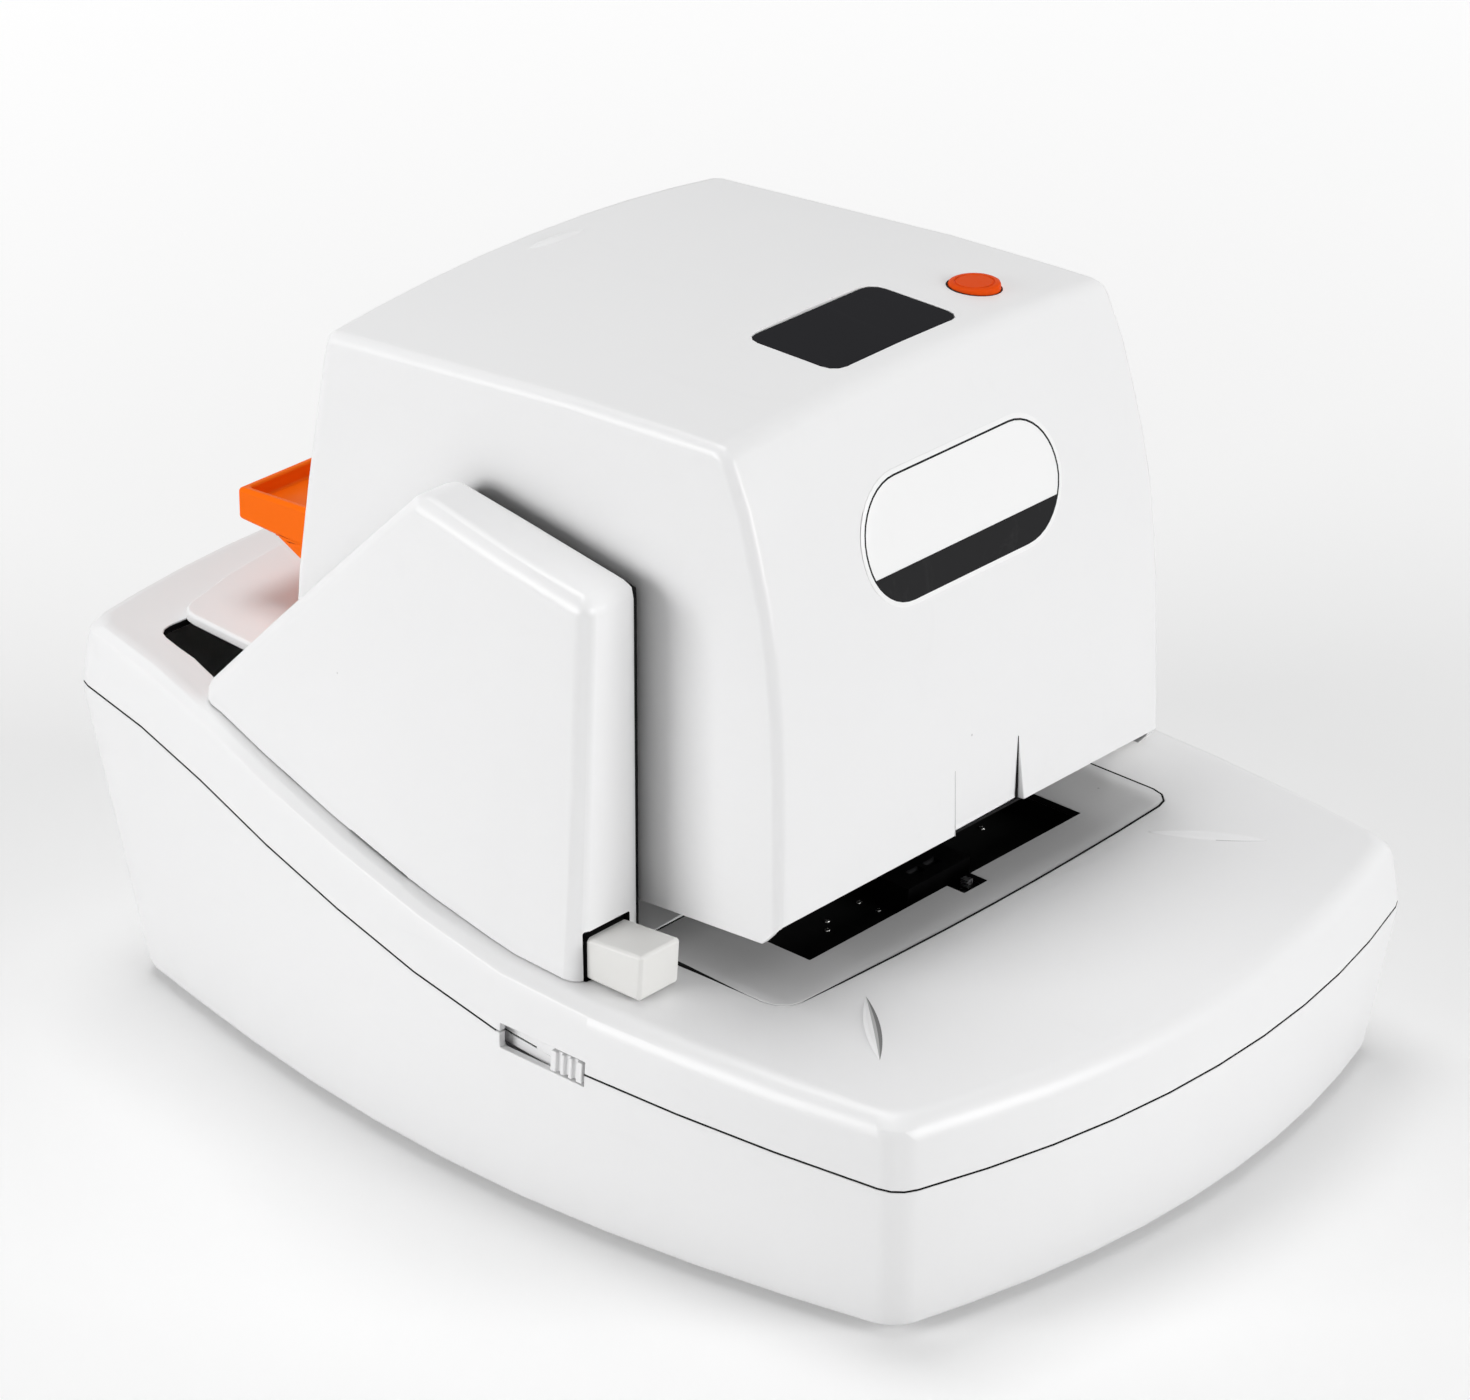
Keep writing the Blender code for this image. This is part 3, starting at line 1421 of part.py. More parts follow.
def make_gears():
    rear = gear_front_y + gear_width
    stub_end = gear_plate_y - seat_gap
    idler = idler_place()
    pinion = pinion_place()
    crank_phase = idler_angle
    crank, crank_axis = add_gear("crank_gear", crank_teeth, crank_phase, (staple_x, crank_z),
                                 crank_shaft_radius + shaft_play)
    pin = cylinder("crank_pin", crank_pin_radius, (0, gear_front_y + overrun / 2, crank_throw),
                   (0, staple_y + ram_thickness / 2 + seat_gap, crank_throw), None, crank_axis, True)
    for step in range(gear_lightening_count):
        angle = 2 * pi * (step + 1 / 2) / gear_lightening_count
        reach = crank_teeth * gear_module / 2 * gear_lightening_place_share
        hole = cylinder("crank_lightening", gear_lightening_radius,
                        (reach * cos(angle), gear_front_y - overrun, reach * sin(angle)),
                        (reach * cos(angle), rear + overrun, reach * sin(angle)),
                        None, crank_axis, True, 12)
        cut(crank, hole)
    join(crank, pin)
    idler_phase = idler_angle + pi + pi / idler_teeth
    add_gear("idler_gear", idler_teeth, idler_phase, idler, idler_shaft_radius + shaft_play)
    tooth = 2 * pi / idler_teeth
    carried = (pinion_angle - idler_phase) % tooth
    pinion_phase = pinion_angle + pi + carried * idler_teeth / pinion_teeth + pi / pinion_teeth
    small, small_axis = add_gear("motor_pinion", pinion_teeth, pinion_phase, pinion, None)
    arbor = cylinder("pinion_arbor", motor_shaft_radius, (0, rear - overrun / 2, 0),
                     (0, gear_plate_y + frame_thickness, 0), None, small_axis, True, 16)
    join(small, arbor)
    cylinder("crank_shaft", crank_shaft_radius, (staple_x, gear_front_y, crank_z),
             (staple_x, stub_end, crank_z), steel())
    cylinder("idler_shaft", idler_shaft_radius, (idler[0], gear_front_y, idler[1]),
             (idler[0], stub_end, idler[1]), steel())
    make_motor(pinion)


def make_motor(pinion):
    front = gear_plate_y + frame_thickness + seat_gap
    x, z = pinion
    motor = cylinder("gear_motor", motor_radius, (x, front, z), (x, front + motor_length, z), steel())
    round_edges(motor, motor_boss_length / 2, 2, 60.0)
    tail = cylinder("motor_tail", motor_boss_radius, (x, front + motor_length - overrun, z),
                    (x, front + motor_length + motor_boss_length, z), helper=True)
    join(motor, tail)


def make_driver():
    front = staple_y - ram_thickness / 2
    ram = box("driver_ram", span_about(staple_x, ram_half_width), (front, front + ram_thickness),
              (ram_bottom_z, ram_bottom_z + ram_height), steel())
    pin_z = crank_z + crank_throw
    yoke = box("driver_yoke", span_about(staple_x, crank_throw + crank_pin_radius + yoke_clearance),
               (front - overrun, front + ram_thickness + overrun),
               span_about(pin_z, crank_pin_radius + yoke_clearance), helper=True)
    cut(ram, yoke)
    box("driver_blade", span_about(staple_x, blade_half_width),
        span_about(staple_y, blade_thickness / 2),
        (nose_top_z - blade_entry, ram_bottom_z - seat_gap), steel())


# A plate's or hole's outline from its right half, whose last point is the rear corner, and a bow.
def bowed_outline(right, corner_length, bow):
    corner = right[-1]
    lead = corner + (right[-2] - corner).normalized() * corner_length
    half = corner.x - corner_length
    rear = []
    for step in range(rear_cover_rows + 1):
        x = half * (1 - 2 * step / rear_cover_rows)
        rear.append(Vector((x, corner.y + bow * (1 - (x / corner.x) ** 2))))
    bend = corner_arc(lead, corner, rear[0], corner_steps)[:-1]
    left = [Vector((-place.x, place.y)) for place in reversed(right[:-1] + bend)]
    return right[:-1] + bend + rear + left


def make_rear_cover(cover):
    right = [Vector((rear_cover_front_half_width, rear_cover_front_y)),
             Vector((rear_cover_corner_half_width, rear_corner_y - rear_cover_rear_inset))]
    plate = prism("rear_cover", bowed_outline(right, rear_cover_corner_length, rear_cover_bow), 2,
                  (rear_cover_bottom_z, rear_cover_bottom_z + rear_cover_thickness), white_plastic())
    round_edges(plate, rear_cover_edge_radius, 2, 60.0)
    right = []
    for step in range(service_stations + 1):
        y = service_front_y + (service_rear_y - service_front_y) * step / service_stations
        right.append(Vector((half_width(y) - service_inset, y)))
    cut(cover, prism("service_hole", bowed_outline(right, service_corner_length, 0.0), 2,
                     (rear_cover_bottom_z - cover_height, rear_cover_bottom_z + overrun), helper=True))


def make_board(name, size, y, items):
    base = chassis_z + chassis_thickness
    top = base + board_standoff + board_thickness
    board = box(name, span_about(0.0, size[0] / 2), span_about(y, size[1] / 2),
                (base + board_standoff, top), board_green())
    for side_x in (-1, 1):
        for side_y in (-1, 1):
            x = side_x * (size[0] / 2 - board_standoff)
            place_y = y + side_y * (size[1] / 2 - board_standoff)
            stand = cylinder(name + "_standoff", board_standoff / 2, (x, place_y, base + seat_gap),
                             (x, place_y, base + board_standoff + board_thickness / 2),
                             helper=True, sides=12)
            join(board, stand)
    for item in items:
        join(board, item)
    return board


def make_electrics():
    base = chassis_z + chassis_thickness + board_standoff + board_thickness / 2
    chips = []
    for share in chip_place_shares:
        x = share * main_board_size[0] / 2
        chips.append(box("board_chip", span_about(x, chip_size / 2), span_about(main_board_y, chip_size / 2),
                         (base, base + chip_height + board_thickness / 2), helper=True))
    make_board("main_board", main_board_size, main_board_y, chips)
    width, length, height = transformer_size
    core_x = -supply_size[0] / 4
    core = box("transformer", span_about(core_x, width / 2), span_about(supply_y, length / 2),
               (base, base + height), helper=True)
    cans = []
    for index in (-1, 1):
        x = supply_size[0] / 4
        y = supply_y + index * (capacitor_radius + capacitor_gap / 2)
        cans.append(cylinder("capacitor", capacitor_radius, (x, y, base),
                             (x, y, base + capacitor_height), helper=True, sides=20))
    make_board("power_supply", supply_size, supply_y, [core] + cans)


def make_mains_inlet(case):
    xs = span_about(0.0, inlet_width / 2)
    zs = span_about(inlet_z, inlet_height / 2)
    ys = (inlet_face_y - inlet_length, inlet_face_y)
    inlet = box("mains_inlet", xs, ys, zs, black_plastic())
    socket_x = xs[1] - inlet_wall - inlet_socket_width / 2
    socket = box("inlet_socket", span_about(socket_x, inlet_socket_width / 2),
                 (inlet_face_y - inlet_socket_depth, inlet_face_y + overrun),
                 span_about(inlet_z, inlet_height / 2 - inlet_wall * 2), helper=True)
    rocker_x = xs[0] + inlet_wall * 2 + rocker_width / 2
    well = box("rocker_well", span_about(rocker_x, rocker_width / 2 + seat_gap),
               (inlet_face_y - rocker_well_depth, inlet_face_y + overrun),
               span_about(inlet_z, rocker_height / 2 + seat_gap), helper=True)
    cut(inlet, socket, well)
    wide, deep, tall = inlet_pin_size
    back = inlet_face_y - inlet_socket_depth
    for x, z in ((-inlet_pin_spread, -tall / 3), (inlet_pin_spread, -tall / 3), (0.0, tall / 3)):
        pin = box("inlet_pin", span_about(socket_x + x, wide / 2), (back - overrun / 2, back + deep),
                  span_about(inlet_z + z, tall / 2), helper=True)
        join(inlet, pin)
    hole = box("inlet_hole", (xs[0] - seat_gap, xs[1] + seat_gap),
               (ys[0] - overrun, base_rear_y + overrun),
               (zs[0] - seat_gap, zs[1] + seat_gap), helper=True)
    cut(case, hole)
    make_rocker(rocker_x)


# The rocker tilts about X. Its face is bent in the middle, its belly is round.
def make_rocker(x):
    place = add_empty("rocker_axis", (x, inlet_face_y - rocker_depth, inlet_z))
    half = rocker_height / 2 - rocker_end_gap
    face = rocker_depth - seat_gap
    lean = half * tan(radians(rocker_degrees) / 2)
    outline = [(face - lean, 0.0), (face, half), (0.0, half), (-rocker_belly_height, rocker_belly_rise),
               (-rocker_belly_depth, 0.0), (-rocker_belly_height, -rocker_belly_rise), (0.0, -half),
               (face - lean * 2, -half)]
    prism("power_rocker", outline, 0, span_about(0.0, rocker_width / 2 - seat_gap), black_plastic(), place)


def make_feet():
    front_x = front_corner_half_width - foot_front_margin
    rear_x = rear_corner_half_width - foot_rear_margin
    for name, x, y in (("front_left", -front_x, foot_front_y), ("front_right", front_x, foot_front_y),
                       ("rear_left", -rear_x, foot_rear_y), ("rear_right", rear_x, foot_rear_y)):
        cylinder("foot_" + name, foot_radius, (x, y, 0.0), (x, y, foot_height - seat_gap), rubber())


def build():
    clear_scene()
    table = add_empty("table_plane", (0.0, slot_front_y, table_z(slot_front_y)), atan(table_slope))
    stop = add_empty("depth_stop_slide", (0.0, 0.0, 0.0), 0.0, table)
    case = make_lower_case()
    cover = make_table_cover()
    make_throat(cover, table)
    make_anvil_carrier(table)
    make_depth_stop(case, cover, table, stop)
    form = table_form()
    for name, side in (("left_shroud", -1), ("right_shroud", 1)):
        cut_stop_window(make_shroud(name, side, form), side, table)
    make_chassis()
    make_side_plate("left_side_plate", -1)
    make_side_plate("right_side_plate", 1)
    cut_side_plate_slots(cover)
    make_pivot()
    make_lift_spring(cover)
    make_rear_cover(cover)
    make_electrics()
    make_mains_inlet(case)
    make_feet()
    head = make_head_cover()
    make_window(head)
    make_button(head)
    make_head_base_plate()
    make_head_frame()
    make_nose_guide()
    make_magazine_rail()
    make_magazine()
    make_gears()
    make_driver()


build()
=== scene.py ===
import bmesh
import bpy
import json
import math
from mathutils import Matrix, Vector
from mathutils.bvhtree import BVHTree


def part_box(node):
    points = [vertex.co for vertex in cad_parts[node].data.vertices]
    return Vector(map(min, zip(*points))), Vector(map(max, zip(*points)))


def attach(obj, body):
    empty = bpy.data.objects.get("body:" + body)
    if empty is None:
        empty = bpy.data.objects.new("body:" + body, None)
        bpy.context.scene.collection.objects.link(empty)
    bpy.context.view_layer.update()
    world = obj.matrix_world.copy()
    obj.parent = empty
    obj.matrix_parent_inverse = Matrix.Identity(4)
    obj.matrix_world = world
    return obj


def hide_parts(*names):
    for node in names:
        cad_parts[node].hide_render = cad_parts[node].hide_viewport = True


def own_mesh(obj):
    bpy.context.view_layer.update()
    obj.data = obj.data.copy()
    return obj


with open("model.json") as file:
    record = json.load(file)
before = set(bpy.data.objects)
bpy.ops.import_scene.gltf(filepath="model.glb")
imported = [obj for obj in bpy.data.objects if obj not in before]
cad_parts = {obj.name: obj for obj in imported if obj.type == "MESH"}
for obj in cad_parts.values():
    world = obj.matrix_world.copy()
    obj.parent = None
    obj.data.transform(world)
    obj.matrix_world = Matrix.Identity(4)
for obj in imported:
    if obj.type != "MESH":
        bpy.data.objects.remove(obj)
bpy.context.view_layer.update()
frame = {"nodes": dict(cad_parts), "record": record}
nodes = frame["nodes"]
mm = 0.001

cameraSet = {"place": (-1.40742, -1.17015, 0.92620), "tiltDegrees": 66.0355, "turnDegrees": -50.4398,
             "lens": 160.786, "sensorWidth": 36.0}


def placed(name, data):  # a new object in the scene
    piece = bpy.data.objects.new(name, data)
    bpy.context.collection.objects.link(piece)
    return piece


def makeCamera():
    data = bpy.data.cameras.new("photoCamera")
    data.lens = cameraSet["lens"]
    data.sensor_fit = "HORIZONTAL"
    data.sensor_width = cameraSet["sensorWidth"]
    camera = placed("photoCamera", data)
    camera.location = cameraSet["place"]
    camera.rotation_euler = (math.radians(cameraSet["tiltDegrees"]), 0.0, math.radians(cameraSet["turnDegrees"]))
    bpy.context.scene.camera = camera
    print("camera placed")


def addNode(tree, kind, place, inputs=None, **settings):
    node = tree.nodes.new(kind)
    node.location = place
    for name, value in settings.items():
        setattr(node, name, value)
    for label, value in (inputs or {}).items():
        node.inputs[label].default_value = value
    return node


def join(tree, *routes):  # a route is a node and its output, or a socket and None, then a node and its input
    for source, output, target, entry in routes:
        tree.links.new(source if output is None else source.outputs[output], target.inputs[entry])


def newGroup(name, inputs, outputs):
    tree = bpy.data.node_groups.new(name, "ShaderNodeTree")
    for label, kind, start in inputs:
        socket = tree.interface.new_socket(label, in_out="INPUT", socket_type=kind)
        if start is not None:
            socket.default_value = start
    for label, kind in outputs:
        tree.interface.new_socket(label, in_out="OUTPUT", socket_type=kind)
    return tree, addNode(tree, "NodeGroupInput", (-800, 0)), addNode(tree, "NodeGroupOutput", (800, 0))


def spread(tree, value, low, high, toLow, toHigh, place):  # a clamped change of range
    node = addNode(tree, "ShaderNodeMapRange", place,
                   {"From Min": low, "From Max": high, "To Min": toLow, "To Max": toHigh}, clamp=True)
    join(tree, (value, None, node, "Value"))
    return node.outputs["Result"]


def mouldedSkinGroup():  # fine spark grain, slow tone drift, rubbed marks and dust of moulded plastic
    scales = {"Grain Scale": 2600.0, "Drift Scale": 11.0, "Mark Scale": 70.0, "Dust Scale": 60.0}
    tree, entry, out = newGroup("mouldedSkin", [("Vector", "NodeSocketVector", None)] +
                                [(label, "NodeSocketFloat", start) for label, start in scales.items()],
                                [(label, "NodeSocketFloat") for label in ("Grain", "Drift", "Marks", "Dust")])
    grain = addNode(tree, "ShaderNodeTexNoise", (-500, 300), {"Detail": 2.5, "Roughness": 0.62})
    drift = addNode(tree, "ShaderNodeTexNoise", (-500, 60), {"Detail": 3.0})
    marks = addNode(tree, "ShaderNodeTexNoise", (-300, -180), {"Detail": 6.0, "Roughness": 0.7, "Distortion": 1.4})
    stretch = addNode(tree, "ShaderNodeMapping", (-500, -180),
                      {"Rotation": (0.5, 0.35, 0.9), "Scale": (1.0, 0.22, 0.6)})
    dust = addNode(tree, "ShaderNodeTexVoronoi", (-500, -420), feature="F1")
    rubbed = spread(tree, marks.outputs["Fac"], 0.60, 0.78, 0.0, 1.0, (0, -180))
    near = spread(tree, dust.outputs["Distance"], 0.012, 0.03, 1.0, 0.0, (-200, -420))
    picked = spread(tree, dust.outputs["Color"], 0.80, 0.84, 0.0, 1.0, (-200, -620))
    both = addNode(tree, "ShaderNodeMath", (100, -480), operation="MULTIPLY")
    for target in (grain, drift, dust, stretch):
        join(tree, (entry, "Vector", target, "Vector"))
    for label, target in zip(scales, (grain, drift, marks, dust)):
        join(tree, (entry, label, target, "Scale"))
    join(tree, (stretch, "Vector", marks, "Vector"), (grain, "Fac", out, "Grain"), (drift, "Fac", out, "Drift"),
         (rubbed, None, out, "Marks"), (near, None, both, 0), (picked, None, both, 1), (both, "Value", out, "Dust"))
    return tree


def drawnLinesGroup():  # the fine lines that rolling and brushing leave in sheet metal
    tree, entry, out = newGroup("drawnLines",
                                [("Vector", "NodeSocketVector", None), ("Line Scale", "NodeSocketFloat", 900.0)],
                                [("Lines", "NodeSocketFloat"), ("Stain", "NodeSocketFloat")])
    stretch = addNode(tree, "ShaderNodeMapping", (-600, 100), {"Scale": (1.0, 0.03, 1.0)})
    lines = addNode(tree, "ShaderNodeTexNoise", (-350, 100), {"Detail": 4.0})
    stain = addNode(tree, "ShaderNodeTexNoise", (-350, -160), {"Scale": 45.0, "Detail": 4.0})
    join(tree, (entry, "Vector", stretch, "Vector"), (stretch, "Vector", lines, "Vector"),
         (entry, "Line Scale", lines, "Scale"), (entry, "Vector", stain, "Vector"), (lines, "Fac", out, "Lines"),
         (stain, "Fac", out, "Stain"))
    return tree


skinGroup = mouldedSkinGroup()
lineGroup = drawnLinesGroup()


def blankMaterial(name, inputs=None):
    look = bpy.data.materials.new(name)
    look.use_nodes = True
    tree = look.node_tree
    tree.nodes.clear()
    out = addNode(tree, "ShaderNodeOutputMaterial", (900, 0))
    shader = addNode(tree, "ShaderNodeBsdfPrincipled", (600, 0), inputs)
    join(tree, (shader, "BSDF", out, "Surface"))
    place = addNode(tree, "ShaderNodeTexCoord", (-900, 0))
    return look, tree, shader, place.outputs["Object"]


def addBump(tree, height, shader, strength, depth):
    bump = addNode(tree, "ShaderNodeBump", (300, -260), {"Strength": strength, "Distance": depth})
    join(tree, (height, None, bump, "Height"), (bump, "Normal", shader, "Normal"))


def blend(tree, share, first, second, place):  # each colour is a plain one or a socket
    node = addNode(tree, "ShaderNodeMix", place, data_type="RGBA")
    for entry, value in ((6, first), (7, second)):
        if isinstance(value, tuple):
            node.inputs[entry].default_value = (*value, 1.0)
        else:
            join(tree, (value, None, node, entry))
    join(tree, (share, None, node, 0))
    return node.outputs[2]


def mouldedPlastic(name, look):
    material, tree, shader, place = blankMaterial(name)
    skin = addNode(tree, "ShaderNodeGroup", (-600, 0), node_tree=skinGroup)
    if "dustScale" in look:
        skin.inputs["Dust Scale"].default_value = look["dustScale"]
    join(tree, (place, None, skin, "Vector"))
    drifted = blend(tree, skin.outputs["Drift"], look["colour"], look["drifted"], (-300, 200))
    marked = blend(tree, spread(tree, skin.outputs["Marks"], 0.0, 1.0, 0.0, look["markShare"], (-300, 0)),
                   drifted, look["marked"], (-60, 200))
    dusted = blend(tree, spread(tree, skin.outputs["Dust"], 0.0, 1.0, 0.0, look["dustShare"], (-300, -240)),
                   marked, look["dust"], (160, 200))
    low, high = look["roughness"]
    rough = spread(tree, skin.outputs["Marks"], 0.0, 1.0, high, low, (-60, -60))
    join(tree, (dusted, None, shader, "Base Color"), (rough, None, shader, "Roughness"))
    addBump(tree, skin.outputs["Grain"], shader, look["grainStrength"], look["grainDepth"])
    if "specular" in look:
        shader.inputs["Specular IOR Level"].default_value = look["specular"]
    return material


def drawnMetal(name, look):
    material, tree, shader, place = blankMaterial(name, {"Metallic": 1.0})
    lines = addNode(tree, "ShaderNodeGroup", (-600, 0), {"Line Scale": look["lineScale"]}, node_tree=lineGroup)
    lined = blend(tree, lines.outputs["Lines"], look["colour"], look["lined"], (-300, 200))
    stained = blend(tree, spread(tree, lines.outputs["Stain"], 0.45, 0.75, 0.0, look["stainShare"], (-300, 0)),
                    lined, look["stain"], (-60, 200))
    rough = spread(tree, lines.outputs["Lines"], 0.3, 0.7, *look["roughness"], (-60, -60))
    join(tree, (place, None, lines, "Vector"), (stained, None, shader, "Base Color"),
         (rough, None, shader, "Roughness"))
    addBump(tree, lines.outputs["Lines"], shader, look["lineStrength"], look["lineDepth"])
    return material


whiteLook = {"colour": (0.85, 0.85, 0.852), "drifted": (0.83, 0.83, 0.835), "marked": (0.70, 0.70, 0.70),
             "markShare": 0.10, "dust": (0.25, 0.25, 0.25), "dustShare": 0.5, "roughness": (0.30, 0.38),
             "grainStrength": 0.25, "grainDepth": 0.00006}
insertLook = dict(whiteLook, colour=(0.75, 0.75, 0.75), drifted=(0.72, 0.72, 0.725), roughness=(0.20, 0.27),
                  grainStrength=0.12)
blockLook = dict(whiteLook, colour=(0.79, 0.785, 0.765), drifted=(0.77, 0.765, 0.745))
blackLook = {"colour": (0.010, 0.010, 0.011), "drifted": (0.014, 0.014, 0.015), "marked": (0.05, 0.05, 0.05),
             "markShare": 0.3, "dust": (0.4, 0.4, 0.4), "dustShare": 0.5, "roughness": (0.30, 0.45),
             "grainStrength": 0.5, "grainDepth": 0.0001, "dustScale": 140.0, "specular": 0.15}
windowLook = {"colour": (0.012, 0.012, 0.014), "drifted": (0.014, 0.014, 0.017), "marked": (0.03, 0.03, 0.033),
              "markShare": 0.25, "dust": (0.5, 0.5, 0.5), "dustShare": 0.35, "roughness": (0.05, 0.09),
              "grainStrength": 0.02, "grainDepth": 0.00002, "specular": 0.008}
handleLook = {"colour": (0.98, 0.165, 0.003), "drifted": (0.95, 0.15, 0.003), "marked": (0.80, 0.20, 0.03),
              "markShare": 0.15, "dust": (0.5, 0.3, 0.2), "dustShare": 0.3, "roughness": (0.30, 0.38),
              "grainStrength": 0.2, "grainDepth": 0.00005, "specular": 0.08}
buttonLook = dict(handleLook, colour=(0.80, 0.080, 0.007), drifted=(0.76, 0.074, 0.007), roughness=(0.20, 0.27),
                  specular=0.01)
gearLook = {"colour": (0.72, 0.70, 0.62), "drifted": (0.68, 0.66, 0.58), "marked": (0.60, 0.57, 0.48),
            "markShare": 0.4, "dust": (0.3, 0.25, 0.2), "dustShare": 0.5, "roughness": (0.35, 0.5),
            "grainStrength": 0.2, "grainDepth": 0.00005}
boardLook = {"colour": (0.015, 0.16, 0.055), "drifted": (0.02, 0.19, 0.065), "marked": (0.05, 0.25, 0.10),
             "markShare": 0.5, "dust": (0.6, 0.55, 0.3), "dustShare": 0.7, "roughness": (0.25, 0.4),
             "grainStrength": 0.3, "grainDepth": 0.00005, "dustScale": 400.0}
rubberLook = {"colour": (0.022, 0.022, 0.023), "drifted": (0.03, 0.03, 0.031), "marked": (0.07, 0.07, 0.07),
              "markShare": 0.5, "dust": (0.3, 0.3, 0.3), "dustShare": 0.6, "roughness": (0.65, 0.8),
              "grainStrength": 0.6, "grainDepth": 0.00012}
steelLook = {"colour": (0.58, 0.58, 0.60), "lined": (0.50, 0.50, 0.52), "stain": (0.40, 0.39, 0.38),
             "stainShare": 0.3, "roughness": (0.22, 0.38), "lineScale": 1500.0, "lineStrength": 0.3,
             "lineDepth": 0.00003}
brassLook = dict(steelLook, colour=(0.70, 0.50, 0.22), lined=(0.60, 0.42, 0.18), stain=(0.35, 0.24, 0.12))
blackSteelLook = dict(steelLook, colour=(0.014, 0.014, 0.015), lined=(0.010, 0.010, 0.011), stain=(0.03, 0.028, 0.026),
                      roughness=(0.42, 0.52), lineStrength=0.1)
zincLook = dict(steelLook, colour=(0.66, 0.66, 0.64), lined=(0.58, 0.58, 0.56), roughness=(0.16, 0.28))
# matte black of the anvil carrier, also used as painted shade: black put into gaps, seams and openings of white parts
# where only shade falls
blackAndShadeLook = dict(blackLook, colour=(0.012, 0.012, 0.012), drifted=(0.016, 0.016, 0.016), dustShare=0.1,
               roughness=(0.7, 0.8), grainStrength=0.1, specular=0.05)
sheetLook = dict(whiteLook, colour=(0.90, 0.90, 0.90), drifted=(0.885, 0.885, 0.885), markShare=0.05,
                 dustShare=0.2, roughness=(0.34, 0.40), grainStrength=0.08)
inkLook = dict(blackLook, colour=(0.014, 0.014, 0.015), drifted=(0.018, 0.018, 0.019), dustShare=0.2,
               roughness=(0.34, 0.40), grainStrength=0.08, specular=0.06)
plateLook = dict(whiteLook, colour=(0.62, 0.63, 0.64), drifted=(0.58, 0.59, 0.60), roughness=(0.28, 0.36),
                 grainStrength=0.1)

looks = {"white_plastic": mouldedPlastic("satinWhite", whiteLook),
         "black_plastic": mouldedPlastic("slotBlack", blackLook),
         "dark_window": mouldedPlastic("smokedWindow", windowLook),
         "orange_plastic": mouldedPlastic("handleOrange", handleLook),
         "gear_plastic": mouldedPlastic("gearNatural", gearLook), "board": mouldedPlastic("boardGreen", boardLook),
         "rubber": mouldedPlastic("footRubber", rubberLook), "steel": drawnMetal("plainSteel", steelLook),
         "brass": drawnMetal("bearingBrass", brassLook)}
insertWhite = mouldedPlastic("insertGrey", insertLook)
blockWhite = mouldedPlastic("blockWhite", blockLook)
buttonOrange = mouldedPlastic("buttonOrange", buttonLook)
blackAndPaintedShade = mouldedPlastic("blackAndPaintedShade", blackAndShadeLook)
sheetWhite = mouldedPlastic("labelWhite", sheetLook)
inkBlack = mouldedPlastic("labelInk", inkLook)
plateSilver = mouldedPlastic("plateSilver", plateLook)
# painted shade: greys that stand for the shade in small recesses and creases
shadeLook = dict(whiteLook, colour=(0.42, 0.42, 0.42), drifted=(0.40, 0.40, 0.40), marked=(0.36, 0.36, 0.36))
deepLook = dict(shadeLook, colour=(0.15, 0.15, 0.15), drifted=(0.14, 0.14, 0.14), marked=(0.12, 0.12, 0.12))
paintedShadeGrey = mouldedPlastic("paintedShadeGrey", shadeLook)
paintedDeepShade = mouldedPlastic("paintedDeepShade", deepLook)
blackSteel = drawnMetal("blackenedSteel", blackSteelLook)
screwZinc = drawnMetal("screwZinc", zincLook)
ownLooks = {"throat_insert": insertWhite, "left_stop_block": blockWhite, "right_stop_block": blockWhite,
            "start_button": buttonOrange, "anvil": blackSteel, "head_base_plate": blackSteel,
            "nose_guide": blackSteel, "anvil_carrier": blackAndPaintedShade}
print("materials made:", len(bpy.data.materials))

slotOf = {part["node"]: part["material_slot"] for part in frame["record"]["subparts"]}
bodyOf = {node: body for body, members in frame["record"]["behaviour"]["bodies"].items() for node in members}


def setLook(piece, material):
    piece.data.materials.clear()
    piece.data.materials.append(material)


def dressNodes():
    for name, piece in nodes.items():
        look = ownLooks.get(name) or looks[slotOf[name]]
        if not piece.material_slots:
            piece.data.materials.append(look)
        for slot in piece.material_slots:
            slot.material = look
    print("frame nodes dressed:", len(nodes))


softSet = {"mergeWithin": 0.01, "flatDegrees": 0.4, "cornerDegrees": 60, "cornerSteps": 5, "sharpDegrees": 30.0,
           "edgeSteps": 3, "weight": 60}


def mergedCopy(node):  # the loose triangles of a node as one closed mesh
    work = bmesh.new()
    work.from_mesh(nodes[node].data)
    bmesh.ops.remove_doubles(work, verts=work.verts, dist=softSet["mergeWithin"] * mm)
    bmesh.ops.dissolve_degenerate(work, edges=work.edges, dist=softSet["mergeWithin"] * mm)
    return work


def shade(mesh, degrees):  # smooth, with sharp edges where faces meet at more than the angle
    mesh.shade_smooth()
    mesh.set_sharp_from_angle(angle=math.radians(degrees))


def meshOf(name, work):  # ends a bmesh and keeps its mesh
    mesh = bpy.data.meshes.new(name)
    work.to_mesh(mesh)
    work.free()
    return mesh


def uprightCorners(work):  # the outer corner edges that stand upright
    picked = []
    for edge in work.edges:
        run = edge.verts[1].co - edge.verts[0].co
        bend = edge.calc_face_angle(0.0) > math.radians(softSet["cornerDegrees"])
        if abs(run.z) > 0.9 * run.length and edge.is_convex and bend:
            picked.append(edge)
    return picked


